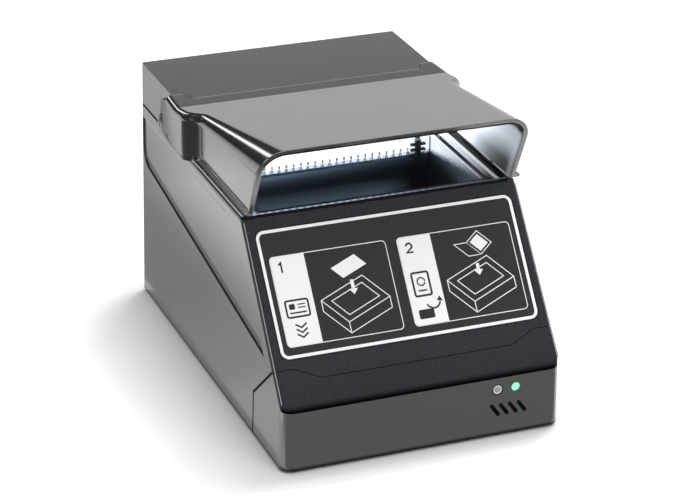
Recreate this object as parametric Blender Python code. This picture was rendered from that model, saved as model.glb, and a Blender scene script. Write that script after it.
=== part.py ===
"""Passport reader with a folding light hood, built as separate pieces.

Lengths are metres and +Z is up. Pieces are modelled in case coordinates:
x from the middle, y back from the front face, z up from the case's underside.
The empty case_datum moves that frame so that the world origin lies at the
middle of the footprint, on the surface that the reader stands on.
"""
import math

import bmesh
import bpy
from mathutils import Matrix, Vector

OBJECT_NAME = "passport_reader"
MM = 0.001

# Case form
CASE_WIDTH = 170.0 * MM
CASE_DEPTH = 262.0 * MM
DECK_HEIGHT = 126.5 * MM
HEAD_RISE = 28.0 * MM
SIDE_LEAN = 1.55 * MM
REAR_LEAN = 4.0 * MM
CHIN_HEIGHT = 36.5 * MM
SLOPE_RUN = 69.0 * MM
WALL = 3.0 * MM
FRONT_ROUND = 7.0 * MM
REAR_ROUND = 1.3 * MM
INNER_ROUND = 1.2 * MM
DECK_ROUND = 2.8 * MM
FOOT_STAND = 1.5 * MM
HEAD_DEPTH = 74.5 * MM
SEAM_BACK = CASE_DEPTH - HEAD_DEPTH

# Clearances
GAP = 0.3 * MM
SEAM = 0.4 * MM
RUN_GAP = 0.1 * MM
OVERRUN = 6.0 * MM
WELD = 0.01 * MM

# Front panels, bumper and label
PANEL = 3.5 * MM
PANEL_ROUND = 2.4 * MM
CHIN_SIDE_LENGTH = 24.5 * MM
CHIN_MIDDLE_LENGTH = 17.3 * MM
CHIN_STEP_INSET = 11.5 * MM
CHIN_STEP_RUN = 15.5 * MM
CHIN_STEP_OUTER = CASE_WIDTH / 2 - CHIN_STEP_INSET
CHIN_STEP_INNER = CHIN_STEP_OUTER - CHIN_STEP_RUN
WING_REACH = 50.8 * MM
WING_KNEE_DRAW = 1.1 * MM
WING_KNEE_HEIGHT = 27.2 * MM
LABEL_MARGIN = 6.2 * MM
LABEL_TOP_MARGIN = 8.1 * MM
LABEL_WIDTH = CASE_WIDTH - LABEL_MARGIN * 2
LABEL_START = 30.0 * MM
LABEL_ROUND = 5.0 * MM
LABEL_THICKNESS = 0.5 * MM
LABEL_RECESS = 0.9 * MM

# Status lamps and sounder
LAMP_RADIUS = 3.1 * MM
LAMP_HEIGHT = 29.0 * MM
LAMP_INSET = 34.35 * MM
LAMP_OUT = CASE_WIDTH / 2 - LAMP_INSET
LAMP_PITCH = 11.3 * MM
LAMP_SET_BACK = 0.15 * MM
SLOT_COUNT = 4
SLOT_INSET = 33.0 * MM
SLOT_MIDDLE = CASE_WIDTH / 2 - SLOT_INSET
SLOT_PITCH = 5.6 * MM
SLOT_HEIGHT = 16.1 * MM
SLOT_LENGTH = 9.5 * MM
SLOT_WIDTH = 2.3 * MM
SLOT_TILT = math.radians(54.5)
INDICATOR_BOARD_BACK = 8.0 * MM
INDICATOR_BOARD_WIDTH = 34.0 * MM
INDICATOR_BOARD_LOW = 7.0 * MM
INDICATOR_BOARD_HIGH = 34.5 * MM
BOARD = 1.6 * MM
SOUNDER_RADIUS = 6.2 * MM
SOUNDER_DEPTH = 3.6 * MM
PEG_RADIUS = 1.6 * MM

# Scan window
GLASS_PROUD = 2.0 * MM
GLASS_THICKNESS = 2.5 * MM
GLASS_INSET = 6.0 * MM
GLASS_WIDTH = CASE_WIDTH - GLASS_INSET * 2
GLASS_LEAD = 0.5 * MM
GLASS_FRONT = SLOPE_RUN - GLASS_LEAD
GLASS_ROUND = 1.5 * MM
GASKET_THICKNESS = 1.4 * MM
GASKET_WIDTH = 3.0 * MM
FRAME_THICKNESS = 3.0 * MM
RAIL_WIDTH = 4.2 * MM
RAIL_INSET = 11.6 * MM
RAIL_OUT = CASE_WIDTH / 2 - RAIL_INSET
RAIL_HEIGHT = 1.4 * MM
WELL_FLOOR = 2.6 * MM
CHAMBER_INSET = 16.0 * MM
CHAMBER_WIDTH = CASE_WIDTH - CHAMBER_INSET * 2
FRAME_OPENING_WIDTH = CHAMBER_WIDTH + GAP * 4
CHAMBER_SET_BACK = 6.6 * MM
CHAMBER_FRONT = SLOPE_RUN + CHAMBER_SET_BACK
CHAMBER_LEAD = 27.5 * MM
CHAMBER_REAR = SEAM_BACK - CHAMBER_LEAD
CHAMBER_WALL = 2.0 * MM
CHAMBER_BOTTOM = 66.0 * MM

# Lamp rows in the chamber
LED_PITCH = 4.6 * MM
LED_WIDTH = 1.6 * MM
LED_HEIGHT = 2.4 * MM
LED_PROUD = 0.9 * MM
LED_ROW_DROP = 13.0 * MM
LED_ROW_HEIGHT = DECK_HEIGHT - LED_ROW_DROP
LED_BOARD_HEIGHT = 9.0 * MM
LED_BOARD_MARGIN = 4.0 * MM
CLIP_INSET = 9.0 * MM
CLIP_OUT = CHAMBER_WIDTH / 2 - CLIP_INSET
CLIP_WIDTH = 3.0 * MM
CLIP_HEIGHT = 14.0 * MM
CLIP_DEPTH = 3.0 * MM
CLIP_FIN = 3.2 * MM
CLIP_FIN_THICKNESS = 1.2 * MM
LED_ROW_HALF = CLIP_OUT - CLIP_WIDTH / 2 - CLIP_FIN - LED_BOARD_MARGIN - GAP * 2
LED_COUNT = math.floor(LED_ROW_HALF * 2 / LED_PITCH) + 1

# Optics
MIRROR_LEAD = 2.8 * MM
MIRROR_BACK = (CHAMBER_FRONT + CHAMBER_REAR) / 2 - MIRROR_LEAD
MIRROR_HEIGHT = 38.0 * MM
MIRROR_TILT = math.radians(45)
MIRROR_LENGTH = 72.0 * MM
MIRROR_WIDTH = 118.0 * MM
MIRROR_THICKNESS = 3.0 * MM
BRACKET_SHEET = 2.0 * MM
MIRROR_FOOT = 34.0 * MM
CAMERA_INSET = 46.0 * MM
CAMERA_BACK = CASE_DEPTH - CAMERA_INSET
CAMERA_BOARD_WIDTH = 38.0 * MM
CAMERA_BOARD_HEIGHT = 36.0 * MM
CAMERA_FOOT = 16.0 * MM
BARREL_RADIUS = 9.0 * MM
BARREL_NECK_RADIUS = 7.0 * MM
BARREL_LENGTH = 20.0 * MM
BARREL_NECK = 8.0 * MM
LENS_RADIUS = 6.0 * MM
LENS_THICKNESS = 2.0 * MM

# Electronics and sockets
MAIN_BOARD_SIDE = 23.0 * MM
MAIN_BOARD_WIDTH = CASE_WIDTH - MAIN_BOARD_SIDE * 2
MAIN_BOARD_LOW = 12.0 * MM
MAIN_BOARD_HIGH = 82.0 * MM
MAIN_BOARD_INSET = 19.0 * MM
MAIN_BOARD_BACK = CASE_DEPTH - MAIN_BOARD_INSET
BOSS_INSET = 6.0 * MM
BOSS_RADIUS = 3.0 * MM
SOCKET_HEIGHT = 26.0 * MM
USB_OUT = -22.0 * MM
USB_WIDTH = 12.0 * MM
USB_TALL = 11.0 * MM
USB_MOUTH_WIDTH = 8.4 * MM
USB_MOUTH_TALL = 7.8 * MM
USB_TONGUE_WIDTH = 5.6 * MM
USB_TONGUE_TALL = 3.2 * MM
SOCKET_MOUTH_DEPTH = 10.0 * MM
SOCKET_PIN_SET_BACK = 4.8 * MM
POWER_OUT = 8.0 * MM
POWER_WIDTH = 10.0 * MM
POWER_TALL = 11.0 * MM
POWER_MOUTH_RADIUS = 3.3 * MM
POWER_PIN_RADIUS = 1.0 * MM
ANTENNA_SIDE = 29.0 * MM
ANTENNA_WIDTH = CASE_WIDTH - ANTENNA_SIDE * 2
ANTENNA_DEPTH = 40.0 * MM
ANTENNA_INSET = 40.0 * MM
ANTENNA_BACK = CASE_DEPTH - ANTENNA_INSET
ANTENNA_DROP = 5.0 * MM

# Rear panel
REAR_PANEL_SIDE = 13.0 * MM
REAR_PANEL_OUT = CASE_WIDTH / 2 - REAR_PANEL_SIDE
REAR_PANEL_HEIGHT = 92.0 * MM

# Head, base and fixings
BULGE_DEPTH = 9.0 * MM
BULGE_BACK = SEAM_BACK + BULGE_DEPTH
BULGE_WIDTH = 11.0 * MM
BULGE_OUT = CASE_WIDTH / 2 - BULGE_WIDTH
HEAD_BLOCK_WIDTH = 13.0 * MM
HEAD_BLOCK_DEPTH = 36.0 * MM
HEAD_SCREW_SIDE = 23.0 * MM
HEAD_SCREW_INSET = 16.0 * MM
HEAD_SCREW_OUT = CASE_WIDTH / 2 - HEAD_SCREW_SIDE
HEAD_SCREW_BACK = CASE_DEPTH - HEAD_SCREW_INSET
DECK_DOOR_SIDE = 12.0 * MM
DECK_DOOR_WIDTH = (HEAD_SCREW_OUT - DECK_DOOR_SIDE) * 2
DECK_DOOR_SET_BACK = 10.5 * MM
DECK_DOOR_FRONT = SEAM_BACK + DECK_DOOR_SET_BACK
DECK_DOOR_INSET = 10.0 * MM
DECK_DOOR_REAR = HEAD_SCREW_BACK - DECK_DOOR_INSET
TRAY_THICKNESS = 2.5 * MM
CORNER_BOSS_RADIUS = 5.0 * MM
CORNER_BOSS_INSET = 7.5 * MM
CORNER_BOSS_HEIGHT = 26.0 * MM
SCREW_RADIUS = 1.5 * MM
SCREW_HEAD_RADIUS = 3.0 * MM
SCREW_HEAD = 1.4 * MM
SCREW_LENGTH = 20.0 * MM
FOOT_RADIUS = 8.0 * MM
FOOT_TAPER = 0.8 * MM
FOOT_SUNK = 1.0 * MM
FOOT_INSET = 22.0 * MM
PLATE_WIDTH = 52.0 * MM
PLATE_DEPTH = 26.0 * MM
PLATE_THICKNESS = 0.5 * MM

# Groove along each side, as points back from the front face and up
GROOVE_WIDTH = 7.0 * MM
GROOVE_DEPTH = 1.0 * MM
GROOVE_INSET = 8.0 * MM
GROOVE_REAR = CASE_DEPTH - GROOVE_INSET
GROOVE_TOP_DROP = 7.3 * MM
GROOVE_TOP = DECK_HEIGHT - GROOVE_TOP_DROP
GROOVE_KNEE_DROP = 34.3 * MM
GROOVE_KNEE = DECK_HEIGHT - GROOVE_KNEE_DROP
GROOVE_FRONT = 31.0 * MM
GROOVE_FRONT_RISE = 24.1 * MM
GROOVE_FRONT_HEIGHT = CHIN_HEIGHT + GROOVE_FRONT_RISE
GROOVE_END_INSET = 12.7 * MM
GROOVE_BEND = 9.0 * MM

# Hood
HOOD_SHEET = 2.8 * MM
HOOD_INSET = 3.0 * MM
HOOD_HALF_WIDTH = CASE_WIDTH / 2 - HOOD_INSET
EAR_STAND = 3.7 * MM
EAR_HALF_WIDTH = CASE_WIDTH / 2 + EAR_STAND
HOOD_TIP_OUT = 3.2 * MM
HOOD_TIP_RISE = 1.7 * MM
HOOD_ROOT_RISE = 3.6 * MM
HOOD_CLEAR = 2.5 * MM
EAR_CLEAR = 0.8 * MM
RIM_LEAD = 5.7 * MM
RIM_BACK = SLOPE_RUN - RIM_LEAD
RIM_DATUM_RISE = 6.8 * MM
RIM_DATUM = DECK_HEIGHT + RIM_DATUM_RISE
RIM_LEAN = math.radians(26.57)
ROOF_PITCH = math.radians(9.01)
CREASE_LEAD = 11.5 * MM
CREASE_BACK = SEAM_BACK - CREASE_LEAD
STEP_LEAD = 24.5 * MM
STEP_RUN = 14.0 * MM
STEP_REAR = SEAM_BACK - STEP_LEAD
STEP_FRONT = STEP_REAR - STEP_RUN
HOOD_TAIL = 10.0 * MM
HOOD_REAR = SEAM_BACK + HOOD_TAIL
ROOF_ROUND_REAR = 4.0 * MM
ROOF_ROUND_FRONT = 16.0 * MM
EAR_SEAM = 0.6 * MM
EAR_INNER = CASE_WIDTH / 2 - EAR_SEAM
EAR_TAIL_THICKNESS = 1.0 * MM
EAR_TAIL_OUT = EAR_INNER + EAR_TAIL_THICKNESS
EAR_TAIL_DRAW = 7.0 * MM
HINGE_SET_BACK = 22.0 * MM
HINGE_BACK = SEAM_BACK + HINGE_SET_BACK
HINGE_RISE = 9.1 * MM
HINGE_HEIGHT = DECK_HEIGHT + HINGE_RISE
EAR_TAIL_LENGTH = 13.5 * MM
EAR_TAIL_RISE = 9.4 * MM
EAR_REAR = HINGE_BACK + EAR_TAIL_LENGTH
EAR_TAIL_TOP = HINGE_HEIGHT + EAR_TAIL_RISE
HINGE_SHAFT_RADIUS = 1.8 * MM
HINGE_HEAD_RADIUS = 3.0 * MM
HINGE_HEAD = 1.0 * MM
HINGE_BUSH_WALL = 1.2 * MM
HINGE_GRIP = 9.0 * MM
PAD_RADIUS = 1.2 * MM
PAD_SET_BACK = 32.7 * MM
PAD_BACK = RIM_BACK + PAD_SET_BACK
PAD_INSET = 0.8 * MM
PAD_OUT = HOOD_HALF_WIDTH - PAD_INSET

# Facets
ROUND_SIDES = 24
SMALL_SIDES = 16
FINE_SIDES = 96
CORNER_STEPS = 6
HOOD_STEPS = 8
SMOOTH_ANGLE = math.radians(32)

# Sizes that follow from the ones above
HEAD_TOP = DECK_HEIGHT + HEAD_RISE
SLOPE_ANGLE = math.atan2(DECK_HEIGHT - CHIN_HEIGHT, SLOPE_RUN)
SLOPE_LENGTH = math.hypot(DECK_HEIGHT - CHIN_HEIGHT, SLOPE_RUN)
LABEL_LENGTH = SLOPE_LENGTH - LABEL_START - LABEL_TOP_MARGIN
PANEL_SEAT = PANEL + GAP
GLASS_TOP = DECK_HEIGHT + GLASS_PROUD
GLASS_BOTTOM = GLASS_TOP - GLASS_THICKNESS
GASKET_TOP = GLASS_BOTTOM - GAP
FRAME_TOP = GASKET_TOP - GASKET_THICKNESS - GAP
FRAME_BOTTOM = FRAME_TOP - FRAME_THICKNESS
WELL_TOP = FRAME_BOTTOM - GAP
CAVITY_TOP = WELL_TOP - WELL_FLOOR
WELL_HALF = GLASS_WIDTH / 2 + GAP
WELL_REAR = SEAM_BACK - GAP * 3
GLASS_REAR = WELL_REAR - GAP
PANEL_TOP = GLASS_BOTTOM - GAP
CHAMBER_TOP = WELL_TOP
HEAD_BOTTOM = DECK_HEIGHT + GAP
HOOD_FOOT = DECK_HEIGHT + HOOD_CLEAR
EAR_FOOT = DECK_HEIGHT + EAR_CLEAR
TRAY_BOSS_BOTTOM = TRAY_THICKNESS + GAP

PARTS = bpy.data.collections.new(OBJECT_NAME)
CUTTERS = bpy.data.collections.new("cutters")

SIDE_FRAME = Matrix(((0, 0, 1, 0), (1, 0, 0, 0), (0, 1, 0, 0), (0, 0, 0, 1)))
FRONT_FRAME = Matrix(((1, 0, 0, 0), (0, 0, -1, 0), (0, 1, 0, 0), (0, 0, 0, 1)))
PLAN_FRAME = Matrix.Identity(4)


def slope_frame():
    """Local X across the panel, Y up the slope and Z out of its face."""
    c, s = math.cos(SLOPE_ANGLE), math.sin(SLOPE_ANGLE)
    return Matrix(((1, 0, 0, 0), (0, c, -s, 0), (0, s, c, CHIN_HEIGHT), (0, 0, 0, 1)))


def half_width(height):
    """Half width of the case at a height, with the sides' draft."""
    return CASE_WIDTH / 2 - SIDE_LEAN * height / HEAD_TOP


def rear_face(height):
    """How far back the rear face lies at a height."""
    return CASE_DEPTH - REAR_LEAN * height / HEAD_TOP


def behind_slope(height, inset):
    """How far back a plane lies that runs parallel to the slope, inset behind it."""
    rise = height - CHIN_HEIGHT
    return rise / math.tan(SLOPE_ANGLE) + inset / math.sin(SLOPE_ANGLE)


def slope_point(length, inset):
    """Point in the side view, a length up the slope and inset behind it."""
    c, s = math.cos(SLOPE_ANGLE), math.sin(SLOPE_ANGLE)
    return (length * c + inset * s, CHIN_HEIGHT + length * s - inset * c)


def arc(centre, radius, start, end, steps):
    """Points of an arc in a plane, both ends included."""
    points = []
    for step in range(steps + 1):
        angle = start + (end - start) * step / steps
        points.append((centre[0] + radius * math.cos(angle), centre[1] + radius * math.sin(angle)))
    return points


def rounded_outline(low, high, radii, steps=CORNER_STEPS):
    """Rectangle with a radius at each corner, from low left, counter-clockwise."""
    corners = (
        (low[0], low[1], 1, 1), (high[0], low[1], -1, 1),
        (high[0], high[1], -1, -1), (low[0], high[1], 1, -1))
    points = []
    for turn, (corner, radius) in enumerate(zip(corners, radii)):
        centre = (corner[0] + corner[2] * radius, corner[1] + corner[3] * radius)
        start = math.pi + turn * math.pi / 2
        points += arc(centre, radius, start, start + math.pi / 2, steps)
    return points


def capsule_outline(middle, length, width, angle, steps=CORNER_STEPS):
    """Slot outline with round ends, turned by angle."""
    reach = (length - width) / 2
    along = Vector((math.cos(angle), math.sin(angle)))
    points = []
    for side, start in ((1, angle - math.pi / 2), (-1, angle + math.pi / 2)):
        centre = Vector(middle) + along * reach * side
        points += arc(centre, width / 2, start, start + math.pi, steps)
    return points


def plan_outline(inset, height):
    """Outline of the case seen from above at a height, as points in space."""
    half = half_width(height) - inset
    front_round = max(FRONT_ROUND - inset, INNER_ROUND)
    rear_round = max(REAR_ROUND - inset, INNER_ROUND)
    radii = (front_round, front_round, rear_round, rear_round)
    flat = rounded_outline((-half, inset), (half, rear_face(height) - inset), radii)
    return [Vector((x, y, height)) for x, y in flat]


def finish_mesh(bm, name):
    """Turn a bmesh into a mesh with its faces pointing out."""
    bmesh.ops.recalc_face_normals(bm, faces=bm.faces)
    mesh = bpy.data.meshes.new(name)
    bm.to_mesh(mesh)
    bm.free()
    return mesh


def box_mesh(low, high):
    """Box between two corners."""
    low, high = Vector(low), Vector(high)
    bm = bmesh.new()
    place = Matrix.Translation((low + high) / 2) @ Matrix.Diagonal((high - low).to_4d())
    bmesh.ops.create_cube(bm, size=1, matrix=place)
    return finish_mesh(bm, "box")


def rod_mesh(start, end, radius, end_radius=None, sides=ROUND_SIDES):
    """Round rod or cone between two points."""
    start, end = Vector(start), Vector(end)
    turn = (end - start).to_track_quat("Z", "Y").to_matrix().to_4x4()
    bm = bmesh.new()
    bmesh.ops.create_cone(
        bm, cap_ends=True, segments=sides, radius1=radius,
        radius2=radius if end_radius is None else end_radius,
        depth=(end - start).length, matrix=Matrix.Translation((start + end) / 2) @ turn)
    return finish_mesh(bm, "rod")


def outline_mesh(loops, low, high, frame):
    """Flat outline, with any holes, drawn out between two levels of a frame."""
    curve = bpy.data.curves.new("outline", "CURVE")
    curve.dimensions = "2D"
    curve.fill_mode = "BOTH"
    curve.extrude = (high - low) / 2
    for loop in loops:
        spline = curve.splines.new("POLY")
        spline.points.add(len(loop) - 1)
        for point, (u, v) in zip(spline.points, loop):
            point.co = (u, v, 0, 1)
        spline.use_cyclic_u = True
    guide = bpy.data.objects.new("outline", curve)
    bpy.context.scene.collection.objects.link(guide)
    bpy.context.view_layer.update()
    filled = bpy.data.meshes.new_from_object(guide.evaluated_get(bpy.context.evaluated_depsgraph_get()))
    bm = bmesh.new()
    bm.from_mesh(filled)
    bmesh.ops.remove_doubles(bm, verts=bm.verts, dist=WELD)
    place = frame @ Matrix.Translation((0, 0, (low + high) / 2))
    bmesh.ops.transform(bm, matrix=place, verts=bm.verts)
    bpy.data.objects.remove(guide)
    bpy.data.curves.remove(curve)
    bpy.data.meshes.remove(filled)
    return finish_mesh(bm, "outline")


def loft_mesh(rings):
    """Skin through rings of equal point counts, closed at both ends."""
    bm = bmesh.new()
    rows = [[bm.verts.new(point) for point in ring] for ring in rings]
    for row, following in zip(rows, rows[1:]):
        count = len(row)
        for index in range(count):
            after = (index + 1) % count
            bm.faces.new((row[index], row[after], following[after], following[index]))
    bm.faces.new(rows[0])
    bm.faces.new(rows[-1])
    return finish_mesh(bm, "loft")


def turned_mesh(start, along, profile, sides=ROUND_SIDES, looped=False):
    """Body of revolution about an axis: distances along it, each with a radius."""
    points = list(profile)
    if not looped:
        points = [(points[0][0], 0)] + points + [(points[-1][0], 0)]
    bm = bmesh.new()
    verts = [bm.verts.new((radius, 0, distance)) for distance, radius in points]
    edges = [bm.edges.new(pair) for pair in zip(verts, verts[1:])]
    if looped:
        edges.append(bm.edges.new((verts[-1], verts[0])))
    bmesh.ops.spin(
        bm, geom=verts + edges, cent=(0, 0, 0), axis=(0, 0, 1), angle=2 * math.pi,
        steps=sides, use_merge=True)
    bmesh.ops.remove_doubles(bm, verts=bm.verts, dist=WELD)
    turn = Vector(along).to_track_quat("Z", "Y").to_matrix().to_4x4()
    bmesh.ops.transform(bm, matrix=Matrix.Translation(start) @ turn, verts=bm.verts)
    return finish_mesh(bm, "turned")


def joined(meshes):
    """Several separate closed meshes as one, for use as a cutter."""
    bm = bmesh.new()
    for mesh in meshes:
        bm.from_mesh(mesh)
        bpy.data.meshes.remove(mesh)
    return finish_mesh(bm, "joined")


def mirrored(mesh):
    """A copy of a mesh on the other side of the case."""
    bm = bmesh.new()
    bm.from_mesh(mesh)
    bmesh.ops.scale(bm, vec=(-1, 1, 1), verts=bm.verts)
    return finish_mesh(bm, mesh.name)


def both_sides(mesh):
    """A mesh and its mirror image together."""
    return joined([mirrored(mesh), mesh])


class Finish:
    """Colour, roughness and metallic value of one material."""

    def __init__(self, colour, roughness, metallic=0, alpha=1, glow=0):
        self.colour = colour
        self.roughness = roughness
        self.metallic = metallic
        self.alpha = alpha
        self.glow = glow

    def material(self, name):
        """Principled material of this finish, made afresh for one piece."""
        made = bpy.data.materials.new(name)
        made.use_nodes = True
        shader = made.node_tree.nodes["Principled BSDF"]
        shader.inputs["Base Color"].default_value = (*self.colour, 1)
        shader.inputs["Roughness"].default_value = self.roughness
        shader.inputs["Metallic"].default_value = self.metallic
        shader.inputs["Alpha"].default_value = self.alpha
        shader.inputs["Emission Color"].default_value = (*self.colour, 1)
        shader.inputs["Emission Strength"].default_value = self.glow
        return made


CASE_PAINT = Finish((0.24, 0.235, 0.23), 0.45, 0.3)
HEAD_PAINT = Finish((0.14, 0.135, 0.13), 0.45, 0.3)
BLACK_GRAIN = Finish((0.014, 0.014, 0.017), 0.42)
BLACK_MATT = Finish((0.012, 0.012, 0.013), 0.7)
LABEL_PRINT = Finish((0.04, 0.04, 0.04), 0.4)
CLEAR_GLASS = Finish((0.9, 0.95, 1.0), 0.03, 0.0, 0.25)
MIRROR_FACE = Finish((0.9, 0.9, 0.9), 0.05, 1.0)
STEEL = Finish((0.5, 0.5, 0.5), 0.35, 1.0)
DARK_STEEL = Finish((0.12, 0.12, 0.12), 0.4, 1.0)
BOARD_GREEN = Finish((0.02, 0.12, 0.05), 0.5)
BOARD_WHITE = Finish((0.8, 0.8, 0.8), 0.5, 0.0, 1.0, 0.5)
RUBBER = Finish((0.02, 0.02, 0.02), 0.85)
LAMP_GREY = Finish((0.45, 0.45, 0.44), 0.35)
LAMP_GREEN = Finish((0.25, 0.9, 0.6), 0.3, 0.0, 1.0, 1.0)


def add_piece(name, mesh, finish, parent):
    """A named piece with its own material, under an empty."""
    mesh.name = name
    piece = bpy.data.objects.new(name, mesh)
    PARTS.objects.link(piece)
    piece.parent = parent
    piece.location = parent["offset"]
    mesh.materials.clear()
    mesh.materials.append(finish.material(name))
    mesh.shade_smooth()
    mesh.set_sharp_from_angle(angle=SMOOTH_ANGLE)
    return piece


def add_tool(name, mesh, parent):
    """A cutter or an operand, kept out of the renders."""
    tool = bpy.data.objects.new(name, mesh)
    CUTTERS.objects.link(tool)
    tool.parent = parent
    tool.location = parent["offset"]
    tool.hide_render = True
    tool.display_type = "WIRE"
    return tool


def boolean(piece, operation, mesh, label):
    """Cut, join or trim a piece with a mesh."""
    tool = add_tool(piece.name + "_" + label, mesh, piece.parent)
    step = piece.modifiers.new(label, "BOOLEAN")
    step.operation = operation
    step.solver = "EXACT"
    step.object = tool


def cut(piece, mesh, label):
    """Take a mesh out of a piece."""
    boolean(piece, "DIFFERENCE", mesh, label)


def join(piece, mesh, label):
    """Add a mesh to a piece."""
    boolean(piece, "UNION", mesh, label)


def trim(piece, mesh, label):
    """Keep only what a piece shares with a mesh."""
    boolean(piece, "INTERSECT", mesh, label)


def case_form(inset=0, low=0, high=None):
    """The case's outer form, or that form drawn in, between two heights."""
    high = HEAD_TOP if high is None else high
    return loft_mesh([plan_outline(inset, low), plan_outline(inset, high)])


def edge_waste(start, end, out, up, radius):
    """What a round leaves over along a straight edge, overrunning both ends."""
    rings = []
    for corner in (start, end):
        ring = []
        for along, rise in arc((-radius, -radius), radius, 0, math.pi / 2, CORNER_STEPS):
            ring.append(corner + out * along + up * rise)
        ring.append(corner - out * radius + up * OVERRUN)
        ring.append(corner + out * OVERRUN + up * OVERRUN)
        ring.append(corner + out * OVERRUN - up * radius)
        rings.append(ring)
    return loft_mesh(rings)


def body_shell(parent):
    """Lower case: sides, deck with the window well, and the rear wall about its panel."""
    knee = (WING_REACH - WING_KNEE_DRAW + SEAM, WING_KNEE_HEIGHT + SEAM / 2)
    seat = slope_point(CHIN_SIDE_LENGTH, PANEL_SEAT)
    rear = CASE_DEPTH + OVERRUN
    profile = [
        (WING_REACH + SEAM, -OVERRUN), (rear, -OVERRUN), (rear, DECK_HEIGHT),
        (behind_slope(DECK_HEIGHT, PANEL_SEAT), DECK_HEIGHT),
        (seat[0] + SEAM, seat[1] + SEAM / 2), knee]
    wide = CASE_WIDTH / 2 + OVERRUN
    shell = add_piece("body_shell", outline_mesh([profile], -wide, wide, SIDE_FRAME), CASE_PAINT, parent)
    trim(shell, case_form(), "outer_form")
    cut(shell, case_form(WALL, -OVERRUN, CAVITY_TOP), "inner_form")
    well = box_mesh((-WELL_HALF, 0, WELL_TOP), (WELL_HALF, WELL_REAR, DECK_HEIGHT + OVERRUN))
    cut(shell, well, "window_well")
    half = CHAMBER_WIDTH / 2 + CHAMBER_WALL + GAP
    opening = box_mesh(
        (-half, CHAMBER_FRONT - CHAMBER_WALL - GAP, CAVITY_TOP - OVERRUN),
        (half, CHAMBER_REAR + CHAMBER_WALL + GAP, WELL_TOP + OVERRUN))
    cut(shell, opening, "chamber_opening")
    door = box_mesh(
        (-DECK_DOOR_WIDTH / 2, DECK_DOOR_FRONT, CAVITY_TOP - OVERRUN),
        (DECK_DOOR_WIDTH / 2, DECK_DOOR_REAR, DECK_HEIGHT + OVERRUN))
    cut(shell, door, "head_opening")
    half = half_width(DECK_HEIGHT) - WALL
    under = box_mesh(
        (-half, WELL_REAR + WALL, CAVITY_TOP - OVERRUN),
        (half, rear_face(DECK_HEIGHT) - WALL, DECK_HEIGHT - WALL))
    cut(shell, under, "deck_underside")
    corner = Vector((half_width(DECK_HEIGHT), 0, DECK_HEIGHT))
    front = behind_slope(DECK_HEIGHT, PANEL_SEAT) - OVERRUN
    waste = edge_waste(
        corner + Vector((0, front, 0)), corner + Vector((0, WELL_REAR, 0)),
        Vector((1, 0, 0)), Vector((0, 0, 1)), DECK_ROUND)
    cut(shell, both_sides(waste), "deck_rounds")
    cut(shell, both_sides(groove_mesh()), "side_grooves")
    for words, out, back in corners(CORNER_BOSS_INSET)[2:]:
        join(shell, corner_boss(out, back), "boss_" + words)
        cut(shell, corner_bore(out, back), "bore_" + words)
    cut(shell, rear_panel_block(GAP), "rear_opening")
    hole = rod_mesh(
        (HEAD_SCREW_OUT, HEAD_SCREW_BACK, CAVITY_TOP - OVERRUN),
        (HEAD_SCREW_OUT, HEAD_SCREW_BACK, DECK_HEIGHT + OVERRUN), SCREW_RADIUS + GAP, sides=SMALL_SIDES)
    cut(shell, both_sides(hole), "head_screw_holes")
    return shell


def rear_panel_block(spread):
    """Block that takes in the rear panel, spread by a clearance."""
    out = REAR_PANEL_OUT + spread
    front = rear_face(REAR_PANEL_HEIGHT) - WALL - OVERRUN
    return box_mesh((-out, front, -OVERRUN), (out, CASE_DEPTH + OVERRUN, REAR_PANEL_HEIGHT + spread))


def rear_panel(parent):
    """Panel in the rear wall, with the sockets' holes and the main board's posts."""
    panel = add_piece("rear_panel", case_form(), CASE_PAINT, parent)
    cut(panel, case_form(WALL, -OVERRUN, HEAD_TOP + OVERRUN), "inner_form")
    trim(panel, rear_panel_block(0), "panel_block")
    for out, height in board_corners():
        label = "post_" + str(len(panel.modifiers))
        start = (out, MAIN_BOARD_BACK + BOARD + GAP, height)
        join(panel, rod_mesh(start, (out, rear_face(height) - WALL / 2, height), BOSS_RADIUS), label)
    for out, wide, tall in socket_plans():
        label = "socket_" + str(len(panel.modifiers))
        low = (out - wide / 2 - GAP, CASE_DEPTH - WALL - OVERRUN, SOCKET_HEIGHT - tall / 2 - GAP)
        high = (out + wide / 2 + GAP, CASE_DEPTH + OVERRUN, SOCKET_HEIGHT + tall / 2 + GAP)
        cut(panel, box_mesh(low, high), label)
    return panel


def corners(inset):
    """Words, out and back of four places at an inset from the outer faces, front ones first."""
    out = CASE_WIDTH / 2 - inset
    places = []
    for where, back in (("front", inset), ("rear", CASE_DEPTH - inset)):
        places.append((where + "_left", -out, back))
        places.append((where + "_right", out, back))
    return places


def corner_boss(out, back):
    """Screw boss that runs into a corner of the case."""
    return rod_mesh((out, back, TRAY_BOSS_BOTTOM), (out, back, CORNER_BOSS_HEIGHT), CORNER_BOSS_RADIUS)


def corner_bore(out, back):
    """Blind hole for a base screw."""
    top = SCREW_HEAD + SCREW_LENGTH + GAP * 2
    return rod_mesh((out, back, 0), (out, back, top), SCREW_RADIUS + GAP, sides=SMALL_SIDES)


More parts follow.
